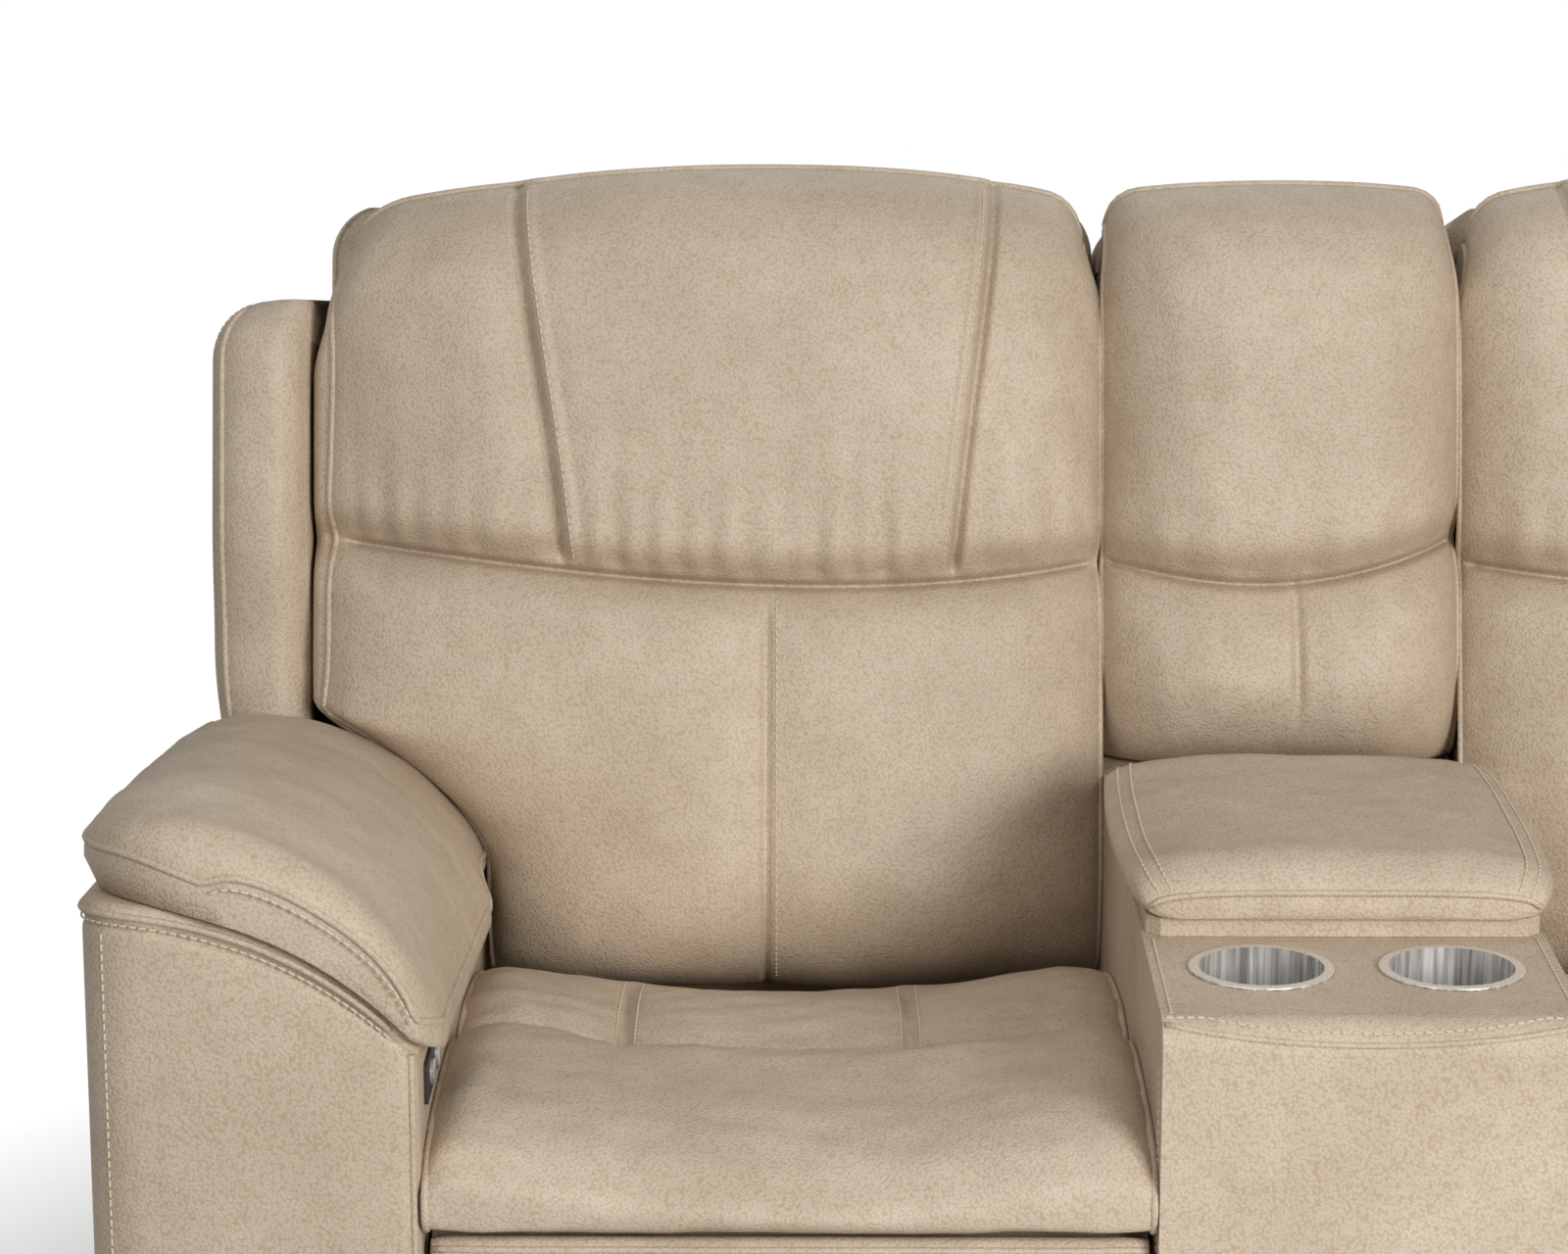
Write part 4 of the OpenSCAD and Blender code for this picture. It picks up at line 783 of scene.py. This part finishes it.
def lid_ring(t, seed):
    """Section of the lid's pad at t from 0 at its front to 1 at its hinge."""
    y = LID_Y0 + t * (LID_Y1 - LID_Y0)
    d = min(t, 1 - t) * (LID_Y1 - LID_Y0)
    hw = (CONSOLE_X + 6 + 8 * (1 - (2 * t - 1) ** 2)) * (0.9 + 0.1 * float(round_end(d + 2, 40)))
    h = LID_THICK * (0.28 + 0.72 * float(round_end(d + 2, 42 if t < 0.5 else 58)))
    a = np.radians(np.linspace(0, 360, LID_POINTS, endpoint=False))
    x = hw * spow(np.cos(a), 0.5)
    z = LID_Z0 + h * 0.42 + h * 0.58 * spow(np.sin(a), 0.8)
    crown = 3 * np.maximum(0, np.cos(x / hw * 1.5))
    soft = crown + 1.2 * waves(x, y, seed, 120) + 0.5 * waves(x, y, seed + 1, 44)
    z = z + ramp(0.2, 0.9, np.sin(a)) * soft * float(ramp(0, 40, d))
    return np.stack([x, np.full(LID_POINTS, y), np.maximum(LID_Z0, z)], 1)


R = np.array([lid_ring(float(t), 91) for t in steps(90, 0.42)])
dress("lid_pad", loft(R, cap=(3, 3)), "lid")
LID = ("lid_pad", "lid")
for j, e in ((LID_RIGHT_J, 1), (LID_LEFT_J, -1)):
    TRIM.stitch(LID, R[2:-2, j] + [e * 0.5, 0, 0.5])
    TRIM.stitch(LID, R[2:-2, j - 3 * e] + [e * 0.5, 0, 0.3])
TRIM.pipe(LID, R[0][1:LID_POINTS // 2] + [0, -1.0, 0], 2.4)


# Wings and backs

WING_V = (930 - BACK_Z) / math.cos(LEAN)
WING_V0 = 52.0
SHELL_IN = 62.3
SHELL_OUT = 107.0
POST_OUT = 848.3
POST_TOP = 578.5
RAIL_TOP = BACK_TOP - 99
TOP_CORNER = 636.0
LEDGE = 0.6
LINE_POINTS = 120
WELT_J, WELT_SEAM_J = 88, 82


def at_height(points, v):
    return np.column_stack([points, np.full(len(points), v)])


def shell_ring(v, wing):
    """One level of the back's leather shell, which closes over the frame's post and top rail.

    It runs from xa at the console to x1 at the outer side, where it comes forward to the depth nf.
    From ni it turns in behind the cushion at the depth nb, and steps back to b between fx and gx."""
    xa = BAY_IN + 34 * taper(BACK_TOP - 52 - v, 44)
    b = SHELL_IN
    if wing:
        ends = 0.3 + 0.7 * float(round_end(WING_V - v + 2, 60))
        ends = ends * (0.45 + 0.55 * float(round_end(v - WING_V0 + 2, 70)))
        x1 = HALF_W - 1 - 24 * (1 - float(ramp(130, 330, v))) - 44 * taper(WING_V - 3 - v, 50)
        nf = -(92 + 26 * float(ramp(320, 430, v))) * ends
        ni = nx = HALF_W - 87
        fx = gx = POST_OUT
        nb = -CUSHION_REAR
        if v > POST_TOP:
            fx, gx = TOP_CORNER + 0.5, TOP_CORNER
    else:
        x1 = BAY_OUT - 2 if v < WING_V0 else HALF_W - 96 - 44 * taper(BACK_TOP - 52 - v, 44)
        ni = x1 - 5 if v < WING_V0 else x1 - 40
        nf, nx, fx, gx, nb = b, ni - 1, ni - 2, ni - 3.5, b
        if v > POST_TOP:
            nf = nb = LEDGE
            if v < RAIL_TOP:
                fx, gx = TOP_CORNER + 0.5, TOP_CORNER
    iw = x1 - ni
    deep = b - nf
    n2 = SHELL_OUT - 6 * taper(v - 12, 20) - 20 * taper(BACK_TOP - 50 - v, 30)
    pad = 7 * math.sin(math.pi * (v - 20) / BACK_TOP)
    n3 = max(b + 2, n2 - 30)
    outer = [[xa, n2 - 6], [xa + 4, n2], [xa + 90, n2 + pad], [(xa + x1) / 2, n2 + pad + 5],
             [x1 - 90, n2 + pad], [x1 - 14, n2], [x1 - 3, n2 - 8], [x1, (n2 - 8 + n3) / 2]]
    if wing:
        outer += [[x1, nf + deep * 0.6], [x1 - iw * 0.03, nf + deep * 0.34],
                  [x1 - iw * 0.13, nf + deep * 0.15], [x1 - iw * 0.34, nf + deep * 0.035],
                  [x1 - iw * 0.68, nf - 3]]
    else:
        outer += [[x1, n3], [x1, nf + 1], [x1 - iw * 0.13, nf + deep * 0.04], [x1 - iw * 0.34, nf],
                  [x1 - iw * 0.68, nf]]
    outer += [[x1 - iw * 0.88, nf + (nb - nf) * 0.05], [ni, nf + (nb - nf) * 0.2]]
    line = smooth_line(outer, LINE_POINTS)
    line[:, 0] = np.clip(line[:, 0], xa, x1)
    if not wing:
        line[:, 1] = np.minimum(np.maximum(line[:, 1], nf), n2 + pad + 6)
    if v > RAIL_TOP:
        b = LEDGE
    inner = [[nx, nb], [fx, nb], [gx, b], [(gx + xa) / 2, b], [xa, b]]
    return at_height(np.vstack([line, inner]), v)


def shell_levels():
    """Heights of the rings under the wing, along it and above it."""
    low = [20, 23, 30, WING_V0 - 4]
    mid = WING_V0 + (WING_V - 3 - WING_V0) * steps(90, 0.42)
    mid = [float(v) for v in np.sort(np.append(mid, [POST_TOP - 0.6, POST_TOP + 0.6]))]
    high = [WING_V, WING_V + 5, WING_V + 14, 640, RAIL_TOP - 0.5, RAIL_TOP + 0.5]
    high += [BACK_TOP - d for d in (90, 84, 78, 72, 67, 63, 60, 57.5, 55.5, 54)]
    return low, mid, high


low, mid, high = shell_levels()
R = back_place(np.array([shell_ring(v, False) for v in low] + [shell_ring(v, True) for v in mid]
                        + [shell_ring(v, False) for v in high]))
welt = R[len(low):len(low) + len(mid)]
for side in SIDES:
    dress(side + "_back_shell", loft(R, cap=(0, 2)), side + "_back", side)
    key = (side + "_back_shell", side + "_back")
    TRIM.pipe(key, side_path(welt[3:-5, WELT_J], side), 2.8)
    TRIM.stitch(key, side_path(welt[2:-2, WELT_SEAM_J] + [0.6, 0, 0], side))


def console_shell_ring(v):
    """One level of the console's leather shell, which closes over its top rail."""
    x = CONSOLE_X - 0.5 - 26 * taper(BACK_TOP - 62 - v, 40)
    b = LEDGE if v > RAIL_TOP - 10 else SHELL_IN
    n2 = SHELL_OUT - 8 * taper(v + 4, 14) - 16 * taper(BACK_TOP - 60 - v, 30)
    rear = smooth_line([[-x, n2 - 8], [-x + 4, n2], [-x / 2, n2 + 4], [0, n2 + 6], [x / 2, n2 + 4],
                        [x - 4, n2], [x, n2 - 8]], 60)
    rear[:, 0] = np.clip(rear[:, 0], -x, x)
    left = [[-x, b], [-x, (b + n2) / 2]]
    right = [[x, (b + n2) / 2], [x, b], [x / 2, b], [0, b], [-x / 2, b]]
    return at_height(np.vstack([left, rear, right]), v)


levels = np.sort(np.append(4 + (BACK_TOP - 68) * steps(60, 0.42), [RAIL_TOP - 10.4, RAIL_TOP - 9.4]))
R = np.array([console_shell_ring(float(v)) for v in levels])
dress("console_back_shell", loft(back_place(R), cap=(0, 2)), "base")


# Footrest pads

FOOT_LOW, FOOT_HIGH = [[c * 1000 for c in corner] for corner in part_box("right_footrest_pad")]
FOOT_ARC = 110
FOOT_EDGE_J = 21


def footrest_ring(t, seed):
    """Section of the footrest's pad at t from 0 to 1 across."""
    width = FOOT_HIGH[0] - FOOT_LOW[0]
    f0, f1 = -FOOT_HIGH[1], -FOOT_LOW[1]
    z0, z1 = FOOT_LOW[2], FOOT_HIGH[2]
    x = FOOT_LOW[0] + t * width
    d = min(t, 1 - t) * width
    k = 0.4 + 0.6 * float(round_end(d + 2, 44))
    hz = (z1 - z0) / 2 * (0.965 + 0.035 * float(round_end(d + 2, 30)))
    a = np.radians(np.linspace(0, 360, FOOT_ARC, endpoint=False))
    z = (z0 + z1) / 2 + hz * spow(np.sin(a), 0.5)
    out = (f1 - f0) * k * (0.45 + 0.6 * spow(np.cos(a), 0.8))
    soft = (1.1 * waves(x, z, seed, 110) + 0.5 * waves(x, z, seed + 1, 44)) * float(ramp(0, 50, d))
    out = out + ramp(0.2, 0.8, np.cos(a)) * (2 - 5 * seam_bumps(x, 5) + soft)
    return np.stack([np.full(FOOT_ARC, x), -np.minimum(f1 + 3, np.maximum(f0, f0 + out)), z], 1)


for side, seed in zip(SIDES, (33, 77)):
    R = np.array([footrest_ring(float(t), seed) for t in steps(110, 0.42)])
    dress(side + "_footrest_pad", loft(R), side + "_footrest", side)
    key = (side + "_footrest_pad", side + "_footrest")
    TRIM.pipe(key, side_path(R[2:-2, FOOT_EDGE_J], side), 2.6)
    for seam in PANEL_SEAMS:
        for off in (-SEAM_GAP, SEAM_GAP):
            line = section(R, seam + off)
            TRIM.stitch(key, side_path(np.vstack([line[-18:], line[:19]]) + [0, -0.5, 0], side))


# Arm covers

QUARTER_Z = 222
TOP_ROUND = 10


def arm_cover_outline(z_of, inset=0.0, bulge=0.0):
    """Ring round the arm from above; z_of gives each point's height, and the rear end leans with it."""
    x0, x1, y0 = ARM_IN + inset, COVER_X - inset, -FRONT_Y + inset
    r = max(3.0, INNER_R - inset)
    r2 = CORNER - inset
    pts = [(x0, y) for y in np.linspace(60, y0 + 40, 14)]
    for a in np.radians(np.linspace(180, 270, 10)):
        pts.append((x0 + r + r * math.cos(a), y0 + r + r * math.sin(a)))
    for w in np.linspace(0.02, 0.98, 40):
        pts.append((x0 + r + w * (x1 - r2 - x0 - r), y0 - bulge * (1 - (2 * w - 1) ** 4)))
    for a in np.radians(np.linspace(270, 360, 16)):
        pts.append((x1 - r2 + r2 * math.cos(a), y0 + r2 + r2 * math.sin(a)))
    pts += [(x1, y) for y in np.linspace(y0 + r2 + 20, 60, 14)]
    out = [[x, y, z_of(x, y)] for x, y in pts]
    for x in np.linspace(x1, x0, 8):
        z = z_of(x, 120.0)
        y = REAR_Y - 16 - inset if z < QUARTER_Z else ARM_END_Y - (ARM_H - 2 - z) * math.tan(LEAN) - inset
        out.append([x, y, z_of(x, y)])
    return np.array(out)


def cover_edge(x, y):
    """Height at which the cover's walls turn in to its top."""
    return float(arm_top(min(x, ARM_OUT), y)) - TOP_ROUND


def arm_cover_rings():
    """Level rings up to QUARTER_Z, then rings that follow the top more and more, then its rounding."""
    rings = []
    for z, inset in ((51, 2.0), (52.5, 0.6), (55, 0.0), (70, 0.0), (120, 0.0), (180, 0.0), (221.9, 0.0)):
        rings.append(arm_cover_outline(lambda x, y: z, inset, 3.0 * float(ramp(51, 120, z))))
    for t in np.concatenate([[0.0005], np.linspace(0.04, 0.9, 30), np.linspace(0.91, 1, 16)]):
        groove = 2.2 * float(bump(6, 3.2, (1 - t) * 380))
        bulge = 3.0 * (1 - float(ramp(0.9, 1, t))) - groove
        rings.append(arm_cover_outline(lambda x, y: QUARTER_Z + t * (cover_edge(x, y) - QUARTER_Z),
                                       groove, bulge))
    for q in (math.radians(a) for a in (20, 45, 70, 88)):
        inset = 8 * (1 - math.cos(q))
        rings.append(arm_cover_outline(lambda x, y: cover_edge(x, y) + 9.3 * math.sin(q), inset))
    return np.array(rings)


def arm_cover_body():
    """The cover, its upper end filled with points on the arm's own top."""
    rings = arm_cover_rings()
    v, f = loft(rings)
    closing = 3 * rings.shape[1] + 1
    for i in range(len(v) - closing, len(v)):
        v[i, 2] = float(arm_top(np.clip(v[i, 0], ARM_IN, ARM_OUT), v[i, 1])) - 0.7
    return v, f


def plate(outline, x0, x1, r=3.0):
    """Closed slab with eased edges from a side outline of (y, z) points."""
    o = np.asarray(outline, float)
    c = o.mean(0)
    size = np.abs(o - c).max()
    rings = []
    for x, ease in ((x0, 1), (x0 + r * 0.3, 0.3), (x0 + r, 0), (x1 - r, 0), (x1 - r * 0.3, 0.3), (x1, 1)):
        p = c + (o - c) * (1 - ease * r / size)
        rings.append(np.column_stack([np.full(len(p), x), p]))
    return loft(np.array(rings))


def arm_front_line(drop, out=3.0):
    """A line across the arm's front, round its corner and along its outer side, drop under the top."""
    x0, xc, yc = ARM_IN + INNER_R, COVER_X - CORNER, -FRONT_Y + CORNER
    pts = []
    for x in np.linspace(x0 + 2, xc, 30):
        w = (x - x0) / (xc - x0)
        y = -FRONT_Y - (out - 2.2) * (1 - (2 * w - 1) ** 4) - 0.4
        pts.append([x, y, float(arm_top(x, -FRONT_Y)) - drop])
    for a in np.radians(np.linspace(-90, 0, 30)[1:]):
        x, y = xc + (CORNER + 0.4) * math.cos(a), yc + (CORNER + 0.4) * math.sin(a)
        pts.append([x, y, float(arm_top(min(x, ARM_OUT), y)) - drop])
    for y in np.linspace(yc + 10, 60, 40):
        pts.append([COVER_X + 0.4, y, float(arm_top(ARM_OUT, y)) - drop])
    return np.array(pts)


def corner_seam():
    """Upright seam on the arm's outer front corner."""
    a = math.radians(-50)
    x = COVER_X - CORNER + (CORNER + 0.3) * math.cos(a)
    y = -FRONT_Y + CORNER + (CORNER + 0.3) * math.sin(a)
    return [[x, y, 60], [x, y, float(arm_top(x, y)) - 22]]


def corner_welt():
    """Upright piping on the arm's inner front corner."""
    a = math.radians(45)
    x = ARM_IN + INNER_R - INNER_R * math.cos(a) - 0.4
    y = -FRONT_Y + INNER_R - INNER_R * math.sin(a) - 0.4
    return [[x, y, z] for z in (60, 300, float(arm_top(ARM_IN + 6, -FRONT_Y)) - 16)]


body_v, body_f = arm_cover_body()
quarter = [(-58, FOOT_Z), (REAR_Y, FOOT_Z), (REAR_Y, 290),
           (ARM_END_Y - (ARM_H - 480) * math.tan(LEAN), 472), (-58, 472)]
quarter_v, quarter_f = plate(quarter, ARM_OUT - 10, ARM_OUT + 1.2)
cover = (np.vstack([body_v, quarter_v]), body_f + [tuple(i + len(body_v) for i in q) for q in quarter_f])
for side in SIDES:
    dress(side + "_arm_cover", cover, "base", side)
    key = (side + "_arm_cover", "base")
    TRIM.pipe(key, side_path(arm_front_line(8.5), side), 2.4)
    TRIM.stitch(key, side_path(arm_front_line(15, 3.4), side))
    TRIM.stitch(key, side_path(corner_seam(), side))
    TRIM.pipe(key, side_path(corner_welt(), side), 2.4)


# Trim on the console's cover, which stays as built in CAD

CONSOLE = ("console_cover", "base")
EDGE_R = 22


def console_front_line(lift):
    """An arched line on the rounded front edge, raised by lift."""
    line = []
    for x in np.linspace(-CONSOLE_X + 2, CONSOLE_X - 2, 60):
        drop = min(21.9, max(0.6, 3 + 12 * (1 - (x / CONSOLE_X) ** 2) - lift))
        phi = math.acos(1 - drop / EDGE_R)
        line.append([x, -FRONT_Y + EDGE_R - (EDGE_R + 0.3) * math.sin(phi),
                     DECK_H - EDGE_R + (EDGE_R + 0.3) * math.cos(phi)])
    return line


TRIM.pipe(CONSOLE, console_front_line(0), 2.2)
TRIM.stitch(CONSOLE, console_front_line(7))
for sg in (-1, 1):
    x, y = sg * (CONSOLE_X + 0.1), -FRONT_Y + 26
    TRIM.stitch(CONSOLE, [[x, y, 60], [x, y, DECK_H - 40]])
    ys = np.linspace(-FRONT_Y + 24, -290, 30)
    TRIM.stitch(CONSOLE, [[sg * (CONSOLE_X - 7), y, DECK_H + 0.3] for y in ys])

TRIM.make()


# Stage, light and camera

def white_world():
    """Soft warm light from all round; the camera sees plain white."""
    w = bpy.data.worlds.new("studio")
    bpy.context.scene.world = w
    w.use_nodes = True
    nt = w.node_tree
    nt.nodes.clear()
    out = nt.nodes.new("ShaderNodeOutputWorld")
    mx = nt.nodes.new("ShaderNodeMixShader")
    nt.links.new(nt.nodes.new("ShaderNodeLightPath").outputs["Is Camera Ray"], mx.inputs[0])
    for i, colour, strength in ((1, (1.0, 0.985, 0.965, 1), 0.3), (2, (1, 1, 1, 1), 1.0)):
        back = nt.nodes.new("ShaderNodeBackground")
        back.inputs[0].default_value = colour
        back.inputs[1].default_value = strength
        nt.links.new(back.outputs[0], mx.inputs[i])
    nt.links.new(mx.outputs[0], out.inputs[0])


def floor():
    """A pale disc that fades out around the sofa."""
    me = bpy.data.meshes.new("floor")
    n = 96
    angles = [2 * math.pi * i / n for i in range(n)]
    me.from_pydata([(3.0 * math.cos(a), 3.0 * math.sin(a), 0) for a in angles], [], [tuple(range(n))])
    m, nt, sh, coord = new_material("pale_floor")
    tone = noise(nt, coord, 3, 2, 0.5).outputs["Fac"]
    nt.links.new(mix_rgb(nt, tone, (0.86, 0.86, 0.86, 1), (0.9, 0.9, 0.9, 1)), sh.inputs["Base Color"])
    sh.inputs["Roughness"].default_value = 0.8
    far = nt.nodes.new("ShaderNodeVectorMath")
    far.operation = "LENGTH"
    nt.links.new(coord, far.inputs[0])
    clear = nt.nodes.new("ShaderNodeBsdfTransparent")
    fade = nt.nodes.new("ShaderNodeMixShader")
    nt.links.new(ramp_node(nt, far.outputs["Value"], 0.95, 1.5), fade.inputs[0])
    nt.links.new(sh.outputs[0], fade.inputs[1])
    nt.links.new(clear.outputs[0], fade.inputs[2])
    out = next(x for x in nt.nodes if x.type == "OUTPUT_MATERIAL")
    nt.links.new(fade.outputs[0], out.inputs[0])
    me.materials.append(m)
    o = bpy.data.objects.new("floor", me)
    bpy.context.scene.collection.objects.link(o)
    o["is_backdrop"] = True


def area(name, at, to, size, power, colour=(1, 1, 1)):
    d = bpy.data.lights.new(name, "AREA")
    d.shape = "RECTANGLE"
    d.size, d.size_y = size
    d.energy = power
    d.color = colour
    o = bpy.data.objects.new(name, d)
    o.location = at
    o.rotation_euler = (Vector(to) - Vector(at)).to_track_quat("-Z", "Y").to_euler()
    bpy.context.scene.collection.objects.link(o)


white_world()
floor()
area("key", (1.7, -3.7, 1.8), (-0.3, 0.1, 0.7), (1.6, 1.4), 116, (1, 0.985, 0.965))
area("left", (-1.8, -2.6, 2.6), (-0.3, 0.1, 0.6), (1.6, 1.4), 22)
area("top", (0, 0.2, 3.4), (0, 0, 0.6), (3.0, 1.4), 6)
area("rim", (0, 2.8, 2.2), (0, 0.3, 0.8), (2.6, 1.0), 12)

cam = bpy.data.cameras.new("camera")
cam.lens = 102.0
cam.sensor_width = 36.0
cam_o = bpy.data.objects.new("camera", cam)
cam_o.location = (-0.379, -3.330, 1.516)
cam_o.rotation_euler = (math.radians(90 - 13.2), 0, math.radians(0.4))
bpy.context.scene.collection.objects.link(cam_o)
bpy.context.scene.camera = cam_o
bpy.context.scene.view_settings.view_transform = "Standard"

low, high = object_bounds()
